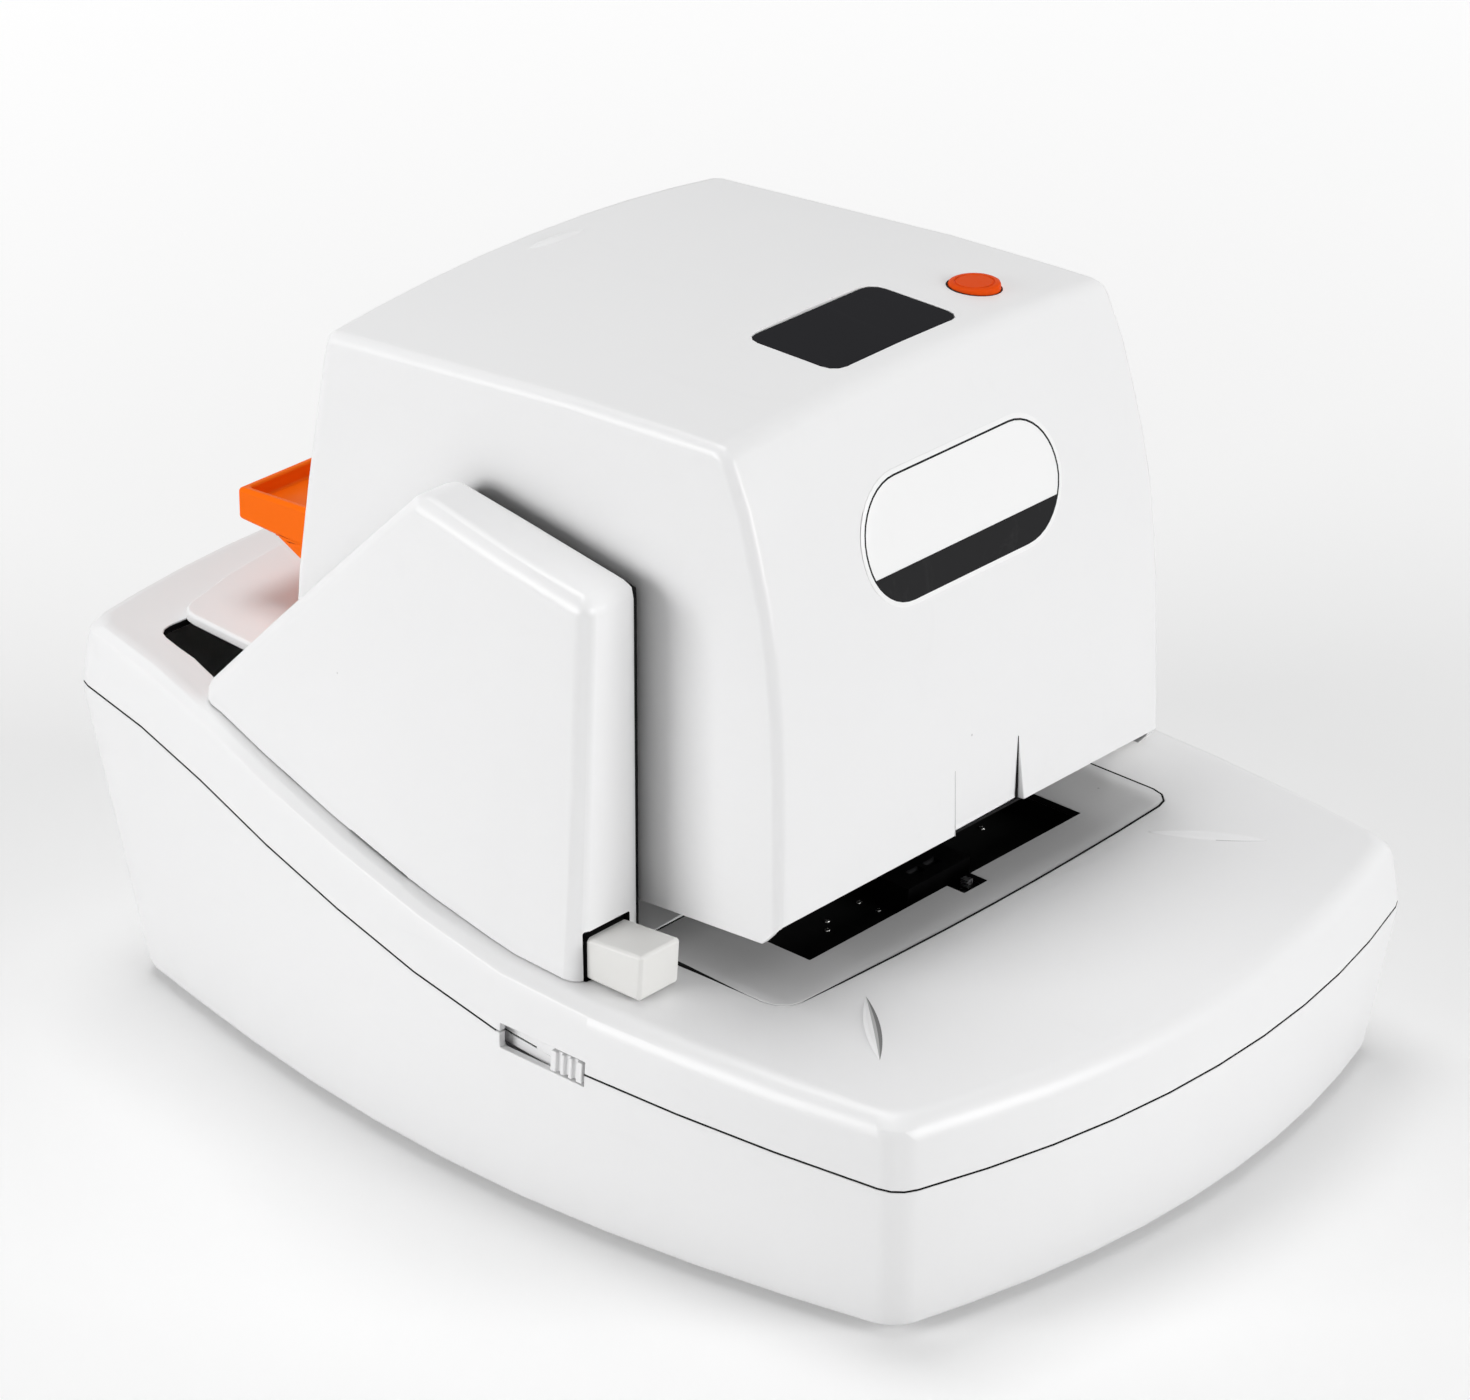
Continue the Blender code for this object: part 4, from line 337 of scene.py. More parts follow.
def softenedCopy(node, settings):  # a smooth copy of a housing with rounded edges, which stands for the node
    work = mergedCopy(node)
    flat = math.radians(softSet["flatDegrees"])
    if settings.get("dissolve", True):
        bmesh.ops.dissolve_limit(work, angle_limit=flat, verts=work.verts, edges=work.edges)
    else:
        bmesh.ops.join_triangles(work, faces=work.faces, angle_face_threshold=flat,
                                 angle_shape_threshold=math.radians(180))
    if "reshape" in settings:
        settings["reshape"](work)
    if "corner" in settings:
        bmesh.ops.bevel(work, geom=uprightCorners(work), offset=settings["corner"] * mm,
                        segments=softSet["cornerSteps"], profile=0.5, affect="EDGES", clamp_overlap=True)
    mesh = meshOf(node + "Soft", work)
    if "custom_normal" in mesh.attributes:
        mesh.attributes.remove(mesh.attributes["custom_normal"])
    shade(mesh, softSet["sharpDegrees"])
    piece = placed(node + "Soft", mesh)
    bevel = piece.modifiers.new("edges", "BEVEL")
    bevel.width = settings["edge"] * mm
    bevel.segments = softSet["edgeSteps"]
    bevel.limit_method = "ANGLE"
    bevel.angle_limit = math.radians(softSet["sharpDegrees"])
    bevel.use_clamp_overlap = False
    bevel.miter_outer = "MITER_ARC"
    smooth = piece.modifiers.new("shading", "WEIGHTED_NORMAL")
    smooth.keep_sharp = False
    smooth.weight = softSet["weight"]
    piece.data = appliedMesh(piece)
    setLook(piece, ownLooks.get(node) or looks[slotOf[node]])
    for low, high in settings.get("paintedShade", []):  # painted shade: faces inside an opening are painted black where shade falls
        paintShade(piece, low, high, settings.get("wallsOnly", False))
    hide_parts(node)
    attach(piece, bodyOf[node])
    return piece


def appliedMesh(piece):  # the mesh that the modifiers give, and the piece without them
    mesh = bpy.data.meshes.new_from_object(piece.evaluated_get(bpy.context.evaluated_depsgraph_get()))
    piece.modifiers.clear()
    return mesh


def inBox(place, low, high):
    return all(low[axis] < place[axis] < high[axis] for axis in range(3))


def paintShade(piece, low, high, wallsOnly):  # painted shade: faces whose middle lies in the box, in mm, get the black of a shaded gap
    piece.data.materials.append(blackAndPaintedShade)
    paintedShade = len(piece.data.materials) - 1
    for face in piece.data.polygons:
        if inBox(face.center / mm, low, high) and not (wallsOnly and abs(face.normal.z) > 0.5):
            face.material_index = paintedShade


blockTopSet = {"above": 90.0, "drop": 2.4, "front": -73.5, "run": 20.5, "cutAt": -52.9}


def levelBlockTop(work):  # the stop block's top runs level towards its window, and is cut there for its hidden part
    s = blockTopSet
    for vert in work.verts:
        if vert.co.z > s["above"] * mm:
            vert.co.z -= s["drop"] * mm * min(1.0, max(0.0, (vert.co.y / mm - s["front"]) / s["run"]))
    bmesh.ops.bisect_plane(work, geom=work.verts[:] + work.edges[:] + work.faces[:],
                           plane_co=(0.0, s["cutAt"] * mm, 0.0), plane_no=(0.0, 1.0, 0.0))


def shifted(low, high, move):  # gives a function that moves the corners in a box, all in mm
    def reshape(work):
        for vert in work.verts:
            if inBox(vert.co / mm, low, high):
                vert.co += Vector(move) * mm
    return reshape


wide = 500.0
# the handle's underside runs level for longer before it drops
moveHandleBend = shifted((-wide, 115.5, 147.0), (wide, 120.0, 149.8), (0.0, 12.3, 1.25))
# the scoop's right wall leans outwards towards its foot
leanScoop = shifted((19.0, -101.5, -wide), (23.0, -95.0, 101.5), (3.0, 0.0, 0.0))


def sideBox(way, low, high):  # a box of the right side, or its mirror image
    near, far = sorted((way * low[0], way * high[0]))
    return (near, *low[1:]), (far, *high[1:])


def shroud(way):  # the top of the stop block's window sits close above the block; painted shade: the window's inside and the shroud's inner face beside the head are painted black
    window = sideBox(way, (102.0, -wide, 98.0), (124.9, -10.0, 99.5))
    return {"edge": 0.4, "reshape": shifted(*window, (0.0, 0.0, -2.5)),
            "paintedShade": [sideBox(way, (101.0, -52.9, 70.0), (123.5, 60.0, 101.0)),
                     sideBox(way, (96.6, -52.6, 79.0), (97.4, 113.6, 212.0))]}


# painted shade: the block's faces behind its window are painted black
def stopBlock(way):
    return {"edge": 0.6, "reshape": levelBlockTop, "paintedShade": [sideBox(way, (103.0, -52.8, 60.0), (123.0, -40.0, 99.0))]}


softHousings = {"lower_case": {"edge": 0.4},
                # painted shade: the walls of the service pocket are painted black
                "table_cover": {"edge": 0.4, "paintedShade": [((-97.6, 111.0, 95.0), (97.6, 153.8, 121.6))], "wallsOnly": True},
                "head_cover": {"edge": 0.4, "reshape": leanScoop},
                "left_shroud": shroud(-1), "right_shroud": shroud(1),
                # painted shade: the walls of the throat slot are painted black
                "throat_insert": {"edge": 0.25, "dissolve": False, "wallsOnly": True,
                                  "paintedShade": [((-66.8, -99.8, 60.0), (66.8, -59.2, 90.0))]},
                "left_stop_block": stopBlock(-1), "right_stop_block": stopBlock(1),
                "rear_cover": {"edge": 0.4},
                "stop_slider_knob": {"edge": 0.4}, "display_window": {"edge": 0.25},
                "magazine_handle": {"edge": 0.9, "corner": 3.0, "dissolve": False, "reshape": moveHandleBend},
                "mains_inlet": {"edge": 0.3}, "power_rocker": {"edge": 0.3}}


stageSet = {"floorSize": 20.0, "floorColour": (0.84, 0.84, 0.84), "nearLift": 0.14, "farLift": 1.05, "nearReach": 0.30,
            "farReach": 3.0, "roughness": 0.9, "specular": 0.1, "worldLight": 0.19}


def makeFloor():
    work = bmesh.new()
    bmesh.ops.create_grid(work, x_segments=1, y_segments=1, size=stageSet["floorSize"] / 2)
    floor = placed("studioFloor", meshOf("studioFloor", work))
    material, tree, shader, place = blankMaterial("studioPaper", {
        "Base Color": (*stageSet["floorColour"], 1.0), "Roughness": stageSet["roughness"],
        "Specular IOR Level": stageSet["specular"]})
    glow = addNode(tree, "ShaderNodeEmission", (600, -300))
    sight = addNode(tree, "ShaderNodeLightPath", (300, 300))
    lift = addNode(tree, "ShaderNodeMath", (500, 300), operation="MULTIPLY")
    reach = addNode(tree, "ShaderNodeVectorMath", (-500, 300), operation="LENGTH")
    rise = spread(tree, reach.outputs["Value"], stageSet["nearReach"], stageSet["farReach"],
                  stageSet["nearLift"], stageSet["farLift"], (-200, 300))
    total = addNode(tree, "ShaderNodeAddShader", (800, -100))
    out = next(node for node in tree.nodes if node.type == "OUTPUT_MATERIAL")
    under = addNode(tree, "ShaderNodeNewGeometry", (800, 250))  # the floor hides nothing from below
    clear = addNode(tree, "ShaderNodeBsdfTransparent", (800, 100))
    seen = addNode(tree, "ShaderNodeMixShader", (1000, 0))
    join(tree, (place, None, reach, 0), (rise, None, lift, 1), (sight, "Is Camera Ray", lift, 0),
         (lift, "Value", glow, "Strength"), (shader, "BSDF", total, 0), (glow, "Emission", total, 1),
         (under, "Backfacing", seen, 0), (total, "Shader", seen, 1), (clear, "BSDF", seen, 2),
         (seen, "Shader", out, "Surface"))
    setLook(floor, material)
    print("floor made")


def makeWorld():  # white where it is seen, and fainter as a light
    world = bpy.data.worlds.new("studioWorld")
    bpy.context.scene.world = world
    world.use_nodes = True
    tree = world.node_tree
    tree.nodes.clear()
    white = (1.0, 1.0, 1.0, 1.0)
    out = addNode(tree, "ShaderNodeOutputWorld", (500, 0))
    seen = addNode(tree, "ShaderNodeBackground", (0, 150), {"Color": white})
    lit = addNode(tree, "ShaderNodeBackground", (0, -50), {"Color": white, "Strength": stageSet["worldLight"]})
    path = addNode(tree, "ShaderNodeLightPath", (-500, 200))
    most = path.outputs["Is Camera Ray"]
    for step, ray in enumerate(("Is Glossy Ray", "Is Transmission Ray")):
        pick = addNode(tree, "ShaderNodeMath", (150 * step - 200, 250), operation="MAXIMUM")
        join(tree, (most, None, pick, 0), (path, ray, pick, 1))
        most = pick.outputs["Value"]
    mix = addNode(tree, "ShaderNodeMixShader", (250, 0))
    join(tree, (most, None, mix, 0), (lit, "Background", mix, 1), (seen, "Background", mix, 2),
         (mix, "Shader", out, "Surface"))
    print("world made")


lampSet = {"leftSoftbox": {"place": (-2.25, 0.95, 0.70), "size": (1.3, 1.0), "power": 36.0},
           "frontSoftbox": {"place": (0.6, -2.4, 0.70), "size": (1.3, 1.0), "power": 38.0},
           "topSoftbox": {"place": (0.2, 0.5, 2.4), "size": (1.2, 1.2), "power": 25.0}}


def makeLamps():
    aim = Vector((0.0, 0.0, 0.1))
    for name, lamp in lampSet.items():
        data = bpy.data.lights.new(name, "AREA")
        data.shape = "RECTANGLE"
        data.size, data.size_y = lamp["size"]
        data.energy = lamp["power"]
        light = placed(name, data)
        light.location = lamp["place"]
        light.rotation_euler = (aim - Vector(lamp["place"])).to_track_quat("-Z", "Y").to_euler()
    print("lamps placed:", len(lampSet))


def newTree(name, inputs):  # a Geometry Nodes tree, and the identifiers of its named inputs
    tree = bpy.data.node_groups.new(name, "GeometryNodeTree")
    tree.interface.new_socket("Geometry", in_out="INPUT", socket_type="NodeSocketGeometry")
    sockets = {}
    for label, kind, start in inputs:
        socket = tree.interface.new_socket(label, in_out="INPUT", socket_type=kind)
        if start is not None:
            socket.default_value = start
        sockets[label] = socket.identifier
    tree.interface.new_socket("Geometry", in_out="OUTPUT", socket_type="NodeSocketGeometry")
    return tree, sockets, addNode(tree, "NodeGroupInput", (-900, 0)), addNode(tree, "NodeGroupOutput", (900, 0))


def endTree(tree, entry, out, last, output):  # plain geometry with its material ends every tree
    real = addNode(tree, "GeometryNodeRealizeInstances", (500, 0))
    finish = addNode(tree, "GeometryNodeSetMaterial", (700, 0))
    join(tree, (last, output, real, "Geometry"), (real, "Geometry", finish, "Geometry"),
         (entry, "Finish", finish, "Material"), (finish, "Geometry", out, "Geometry"))


def grownPiece(name, mesh, tree, sockets, values, body):  # runs a tree on a mesh and keeps the result as a piece
    piece = placed(name, mesh)
    modifier = piece.modifiers.new("tree", "NODES")
    modifier.node_group = tree
    for label, value in values.items():
        modifier[sockets[label]] = value
    piece.data = appliedMesh(piece)
    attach(piece, body)
    print("grown:", name, len(piece.data.polygons), "faces")


def meshPiece(name, places, faces, look, body, smooth=True):  # places in mm
    mesh = bpy.data.meshes.new(name)
    mesh.from_pydata([Vector(place) * mm for place in places], [], faces)
    work = bmesh.new()
    work.from_mesh(mesh)
    bmesh.ops.remove_doubles(work, verts=work.verts, dist=0.001 * mm)
    work.to_mesh(mesh)
    work.free()
    if smooth:
        shade(mesh, 35)
    piece = placed(name, mesh)
    setLook(piece, look)
    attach(piece, body)
    return piece


def surfaceOf(node):
    work = mergedCopy(node)
    surface = BVHTree.FromBMesh(work)
    work.free()
    return surface


def pathLineTree():  # a thin round line along the edges of a wire mesh, thinner where its share is less
    tree, sockets, entry, out = newTree("pathLine", [("Radius", "NodeSocketFloat", 0.00025),
                                                     ("Finish", "NodeSocketMaterial", None)])
    curve = addNode(tree, "GeometryNodeMeshToCurve", (-600, 0))
    share = addNode(tree, "GeometryNodeInputNamedAttribute", (-800, -250), {"Name": "lineShare"}, data_type="FLOAT")
    thin = addNode(tree, "GeometryNodeSetCurveRadius", (-350, 0))
    ring = addNode(tree, "GeometryNodeCurvePrimitiveCircle", (-350, -300), {"Resolution": 8}, mode="RADIUS")
    sweep = addNode(tree, "GeometryNodeCurveToMesh", (0, 0), {"Fill Caps": True})
    join(tree, (entry, "Geometry", curve, "Mesh"), (curve, "Curve", thin, "Curve"),
         (share, "Attribute", thin, "Radius"), (entry, "Radius", ring, "Radius"), (thin, "Curve", sweep, "Curve"),
         (ring, "Curve", sweep, "Profile Curve"), (share, "Attribute", sweep, "Scale"))
    endTree(tree, entry, out, sweep, "Mesh")
    return tree, sockets


lineTree, lineSockets = pathLineTree()


def grownLine(name, wire, radius, finish, node, slot="black_plastic"):
    grownPiece(name, wire, lineTree, lineSockets, {"Radius": radius * mm, "Finish": finish}, bodyOf[node])


def jointEdges(node, neighbour, up, settings):  # outer edges beside a neighbour: both ends and a side normal
    work = mergedCopy(node)
    beside = surfaceOf(neighbour)
    found = []
    for edge in work.edges:
        if len(edge.link_faces) != 2:
            continue
        normals = [face.normal.copy() for face in edge.link_faces]
        flat = [normal for normal in normals if normal.z * up > 0.8]
        side = [normal for normal in normals if abs(normal.z) < 0.45]
        if not flat or not side:
            continue
        middle = (edge.verts[0].co + edge.verts[1].co) / 2
        outward = Vector((middle.x, middle.y - settings["centreY"] * mm, 0.0))
        if side[0].dot(outward) > 0 and beside.find_nearest(middle)[3] < settings["reach"] * mm:
            found.append((edge.verts[0].co.copy(), edge.verts[1].co.copy(), side[0].copy()))
    work.free()
    return found


def wireMesh(name, places, pairs, shares):
    mesh = bpy.data.meshes.new(name)
    mesh.from_pydata(places, pairs, [])
    mesh.attributes.new("lineShare", "FLOAT", "POINT")
    for row, share in zip(mesh.attributes["lineShare"].data, shares):
        row.value = share
    return mesh


def wireOf(name, edges, shift, drop, shareAt):  # joins the edges, moved along their side normals, into one wire
    keySteps, longest = 50000, 3.0 * mm  # ends closer than 0.02 mm are one place
    places, normals, pairs = [], [], []
    index = {}
    for first, second, side in edges:
        pair = []
        for end in (first, second):
            key = tuple(round(value * keySteps) for value in end)
            if key not in index:
                index[key] = len(places)
                places.append(end.copy())
                normals.append(Vector())
            normals[index[key]] += side
            pair.append(index[key])
        pairs.append(pair)
    moved = []
    for place, normal in zip(places, normals):
        normal.z = 0.0
        moved.append(place + normal.normalized() * shift * mm + Vector((0.0, 0.0, drop * mm)))
    short = []
    for first, second in pairs:  # a long edge is split, so that the line's share can change along it
        start, run = moved[first], moved[second] - moved[first]
        parts = max(1, math.ceil(run.length / longest))
        chain = [first] + [len(moved) + step for step in range(parts - 1)] + [second]
        moved += [start + run * (step + 1) / parts for step in range(parts - 1)]
        short += zip(chain[:-1], chain[1:])
    return wireMesh(name, moved, short, [shareAt(place / mm) for place in moved])


seamShadeSet = {"radius": 0.27, "sink": 0.22, "reach": 0.75, "halfGap": 0.25, "centreY": 20.0}
insertShadeSet = {"radius": 0.34, "out": 0.10, "drop": -0.12, "reach": 1.2, "centreY": -77.0, "least": 0.02, "most": 2.5,
                 "wedge": (-88.9, -66.0), "fadeX": (-88.0, -62.0)}


def inSliderSlot(place):
    return place.x < -118.0 * mm and -66.0 * mm < place.y < -29.0 * mm


# painted shade: a black line laid inside the seam between cover and case, where shade falls
def makeSeamShade():
    edges = [edge for edge in jointEdges("table_cover", "lower_case", -1, seamShadeSet)
             if not inSliderSlot((edge[0] + edge[1]) / 2)]
    wire = wireOf("baseSeamLine", edges, -seamShadeSet["sink"], -seamShadeSet["halfGap"], lambda place: 1.0)
    grownLine("baseSeamLine", wire, seamShadeSet["radius"], blackAndPaintedShade, "lower_case")


def insertShadeShare(place):  # the painted shade line fades at the left front corner and widens towards the stop block
    least, most = insertShadeSet["least"], insertShadeSet["most"]
    if place.y > -55.0:
        return 1.0
    if place.x < -92.0:
        near, far = insertShadeSet["wedge"]
        return min(most, max(least, most * (place.y - near) / (far - near)))
    near, far = insertShadeSet["fadeX"]
    return min(1.0, max(least, (place.x - near) / (far - near)))


# painted shade: a black line laid in the gap round the throat insert
def makeInsertShade():
    edges = jointEdges("throat_insert", "table_cover", 1, insertShadeSet)
    wire = wireOf("insertLine", edges, insertShadeSet["out"], insertShadeSet["drop"], insertShadeShare)
    grownLine("insertLine", wire, insertShadeSet["radius"], blackAndPaintedShade, "throat_insert")


def lineFrom(name, places, shares, closed, *finish):  # a thin line through places in metres
    count = len(places)
    pairs = [(step, (step + 1) % count) for step in range(count if closed else count - 1)]
    grownLine(name, wireMesh(name, places, pairs, shares), *finish)


gapShadeSet = {"reach": 0.6, "inset": 0.4, "radius": 1.6, "out": 1.7, "above": 119.0, "innerFace": 97.0,
               "bushHole": (60.0, 120.0, 8.0)}


def makeGapShade():  # painted shade: a black strip just inside the shrouds' edges, which closes and darkens the gap beside the head
    s = gapShadeSet
    holeY, holeZ, holeReach = (value * mm for value in s["bushHole"])
    for name, node, way in (("leftGapStrip", "left_shroud", 1), ("rightGapStrip", "right_shroud", -1)):
        work = mergedCopy(node)
        inner = [face for face in work.faces if face.normal.x * way > 0.98
                 and abs(abs(face.calc_center_median().x) - s["innerFace"] * mm) < s["reach"] * mm]
        middle = sum((face.calc_center_median() * face.calc_area() for face in inner), Vector())
        middle /= sum(face.calc_area() for face in inner)
        edges, sides = [], {}
        for edge in work.edges:
            first, second = edge.verts
            run, halfway = second.co - first.co, (first.co + second.co) / 2
            hole = math.hypot(halfway.y - holeY, halfway.z - holeZ) < holeReach
            foot = max(first.co.z, second.co.z) < s["above"] * mm and abs(run.z) < 0.6 * abs(run.y)
            if hole or foot or sum(face in inner for face in edge.link_faces) != 1:
                continue
            side = Vector((0.0, -run.z, run.y)).normalized()
            side *= 1 if side.dot(middle - halfway) > 0 else -1
            edges.append((first, second))
            for vert in edge.verts:
                sides[vert] = sides.get(vert, Vector()) + side
        moved = {vert: vert.co + side.normalized() * s["inset"] * mm for vert, side in sides.items()}
        wire = wireOf(name, [(moved[first], moved[second], Vector()) for first, second in edges], 0.0, 0.0,
                      lambda place: 1.0)
        work.free()
        for vert in wire.vertices:
            vert.co.x = -way * (s["innerFace"] - s["out"]) * mm
        grownLine(name, wire, s["radius"], blackAndPaintedShade, node)
    print("gap strips laid")


scoopShadeLines = {"scoopShade": {"ends": ((20.25, -100.3, 122.4), (22.9, -97.9, 100.3)), "radius": 0.42,
                             "shares": (0.25, 1.0), "finish": blackAndPaintedShade, "slot": "black_plastic"},
              "scoopCrease": {"ends": ((-10.3, -100.15, 121.6), (-10.3, -100.45, 100.5)), "radius": 0.14,
                              "shares": (0.5, 1.0), "finish": paintedShadeGrey, "slot": "white_plastic"}}


def makeScoopLines():  # painted shade: the dark inner edge and the faint grey crease of the sight scoop, drawn as lines
    for name, line in scoopShadeLines.items():
        count = 12
        first, last = Vector(line["ends"][0]), Vector(line["ends"][1])
        low, high = line["shares"]
        lineFrom(name, [first.lerp(last, step / count) * mm for step in range(count + 1)],
                 [low + (high - low) * step / count for step in range(count + 1)], False, line["radius"],
                 line["finish"], "head_cover", line["slot"])


def makeSpring():  # a merged copy of the lift spring, with a mesh of its own, on the spring's body
    spring = placed("liftSpring", meshOf("liftSpring", mergedCopy("lift_spring")))
    setLook(spring, looks["steel"])
    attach(spring, bodyOf["lift_spring"])
    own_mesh(spring)
    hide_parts("lift_spring")
    print("spring set")


buttonSet = {"profile": [(0.0, -1.0), (5.5, -1.0), (5.75, -1.3), (6.0, -1.3), (6.25, -1.0), (7.2, -1.05),
                         (7.75, -1.35), (7.95, -1.9), (8.0, -2.6), (8.0, -8.5), (0.0, -8.5)], "steps": 64,
             "ring": 8.35, "seat": 9.8, "ringRadius": 0.24, "ringSink": 0.10, "ringSteps": 48, "castFrom": 0.3}


def ringFaces(rings, steps, turned=False):  # quads between rings that follow each other
    faces = []
    for row in range(rings - 1):
        for step in range(steps):
            after, low, high = (step + 1) % steps, row * steps, (row + 1) * steps
            face = (low + step, low + after, high + after, high + step)
            faces.append((face[0], face[3], face[2], face[1]) if turned else face)
    return faces


def gridFaces(rows, columns):
    return [(first, first + 1, first + columns + 2, first + columns + 1)
            for row in range(rows) for first in range(row * (columns + 1), row * (columns + 1) + columns)]


def makeButton():  # turned round an upright axis, with closed poles, and a black ring of painted shade in the fine gap round it
    s = buttonSet
    low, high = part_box("start_button")
    centre = ((low[0] + high[0]) / 2 / mm, (low[1] + high[1]) / 2 / mm, high[2] / mm)
    turns = [math.tau * step / s["steps"] for step in range(s["steps"])]
    places = [(centre[0] + radius * math.cos(turn), centre[1] + radius * math.sin(turn), centre[2] + height)
              for radius, height in s["profile"] for turn in turns]
    cap = meshPiece("startButtonCap", places, ringFaces(len(s["profile"]), s["steps"], True), buttonOrange,
                    bodyOf["start_button"])
    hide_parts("start_button")
    surface = surfaceOf("head_cover")
    ring, sink = [], Vector((0.0, 0.0, s["ringSink"] * mm))
    for step in range(s["ringSteps"]):
        turn = math.tau * step / s["ringSteps"]
        way = Vector((math.cos(turn), math.sin(turn), 0.0))
        seat = Vector(centre) * mm + way * s["seat"] * mm
        seat = surface.ray_cast(Vector((seat.x, seat.y, s["castFrom"])), Vector((0.0, 0.0, -1.0)))[0]
        ring.append(seat - way * (s["seat"] - s["ring"]) * mm - sink)
    lineFrom("buttonGap", ring, [1.0] * len(ring), True, s["ringRadius"], blackAndPaintedShade, "head_cover")
    print("button turned")


labelSet = {"centreX": 0.9, "centreZ": 199.4, "halfLength": 45.6, "halfHeight": 18.5, "margin": 1.5,
            "outline": 0.6, "bandTop": 191.3, "thickness": 0.12, "inkLift": 0.04, "arcSteps": 20, "runSteps": 12}


def pillRing(inset):  # places round a pill shape, in the plane of the head's front
    halfLength = labelSet["halfLength"] - inset
    radius = max(labelSet["halfHeight"] - inset, 0.0)
    straight = halfLength - radius
    ring = []
    for side in (1, -1):
        for step in range(labelSet["runSteps"]):
            along = straight * (1 - 2 * step / labelSet["runSteps"])
            ring.append((-side * along, -side * radius))
        for step in range(labelSet["arcSteps"]):
            turn = math.pi * step / labelSet["arcSteps"]
            ring.append((side * (straight + radius * math.sin(turn)), -side * radius * math.cos(turn)))
    return ring


def onFront(surface, x, z, lift):  # a place on the head's front face, lifted off it
    hit, normal = surface.ray_cast(Vector((x, -200.0, z)) * mm, Vector((0.0, 1.0, 0.0)))[:2]
    return (hit + normal * lift * mm) / mm


def makeLabel():
    surface = surfaceOf("head_cover")
    centreX, centreZ = labelSet["centreX"], labelSet["centreZ"]
    top = labelSet["thickness"]
    ink = top + labelSet["inkLift"]

    def ringSet(name, insets, lifts, look):
        places = []
        for inset, lift in zip(insets, lifts):
            places += [onFront(surface, centreX + x, centreZ + z, lift) for x, z in pillRing(inset)]
        faces = ringFaces(len(insets), len(pillRing(0.0)))
        meshPiece(name, places, faces, look, bodyOf["head_cover"])

    margin = labelSet["margin"]
    half = labelSet["halfHeight"]
    ringSet("labelSheet", [-margin, -margin, -margin + 0.12, 0.25 * half, 0.5 * half, 0.75 * half, half],
            [-0.05, top - 0.05, top, top, top, top, top], sheetWhite)
    ringSet("labelOutline", [0.0, 0.0, labelSet["outline"], labelSet["outline"]], [top - 0.02, ink, ink, top - 0.02],
            inkBlack)
    places = []
    rows, columns = 8, 24
    inner = labelSet["outline"] * 0.5
    radius = half - inner
    bottom = centreZ - radius
    for row in range(rows + 1):
        z = bottom + (labelSet["bandTop"] - bottom) * row / rows
        reach = labelSet["halfLength"] - half + math.sqrt(max(radius ** 2 - (z - centreZ) ** 2, 0.0))
        for column in range(columns + 1):
            x = centreX + reach * (2 * column / columns - 1)
            places.append(onFront(surface, x, z, ink + 0.01))
    meshPiece("labelBand", places, gridFaces(rows, columns), inkBlack, bodyOf["head_cover"])
    print("label laid")


leafMarks = {"tableMarkLeft": {"ends": ((-71.5, -115.7), (-98.2, -142.0)), "node": "table_cover", "halfWidth": 2.5,
                               "height": 0.9, "peak": -0.45, "paintedShadeFrom": 0.05, "deep": 0.42, "from": -1.0, "turned": 1},
             "tableMarkRight": {"ends": ((70.5, -112.3), (92.0, -141.8)), "node": "table_cover", "halfWidth": 2.4,
                                "height": 1.5, "peak": 0.25, "paintedShadeFrom": 0.80, "deep": 1.1, "from": 0.15, "turned": -1},
             "headMark": {"ends": ((-11.6, 63.8), (12.7, 62.1)), "node": "head_cover", "halfWidth": 2.8, "height": 0.7,
                          "peak": 0.0, "paintedShadeFrom": 1.1, "deep": 1.1, "from": -1.0, "turned": 1}}


def makeLeafMarks():  # low moulded leaves on the surface that carries them, with painted shade in two greys along one side
    for name, mark in leafMarks.items():
        surface = surfaceOf(mark["node"])
        start, end = Vector(mark["ends"][0]), Vector(mark["ends"][1])
        run = (end - start) / 2
        across = Vector((-run.y, run.x)).normalized()
        places, shadeTones = [], []
        rows, columns = 28, 14
        for row in range(rows + 1):
            along = 2 * row / rows - 1
            swell = 1 - along ** 2
            for column in range(columns + 1):
                side = 2 * column / columns - 1
                peak = mark["peak"]
                fall = (1 - side) / (1 - peak) if side > peak else (1 + side) / (1 + peak)
                rise = mark["height"] * swell * (fall * fall * (3 - 2 * fall))
                spot = start + run * (1 + along) + across * side * mark["halfWidth"] * swell
                hit = surface.ray_cast(Vector((spot.x, spot.y, 300.0)) * mm, Vector((0.0, 0.0, -1.0)))[0]
                places.append((spot.x, spot.y, hit.z / mm + rise + 0.02 - 0.05 * (column in (0, columns))))
        # painted shade: faces past the given sides get the grey or the deep grey
        for row in range(rows):
            for column in range(columns):
                side, along = mark["turned"] * (2 * (column + 0.5) / columns - 1), 2 * (row + 0.5) / rows - 1
                shadeTones.append((side > mark["paintedShadeFrom"]) + (side > mark["deep"]) if along > mark["from"] else 0)
        piece = meshPiece(name, places, gridFaces(rows, columns), looks["white_plastic"], bodyOf[mark["node"]])
        if any(shadeTones) and len(piece.data.polygons) == len(shadeTones):
            piece.data.materials.append(paintedShadeGrey)
            piece.data.materials.append(paintedDeepShade)
            for face, tone in zip(piece.data.polygons, shadeTones):
                face.material_index = tone
    print("moulded marks made:", len(leafMarks))


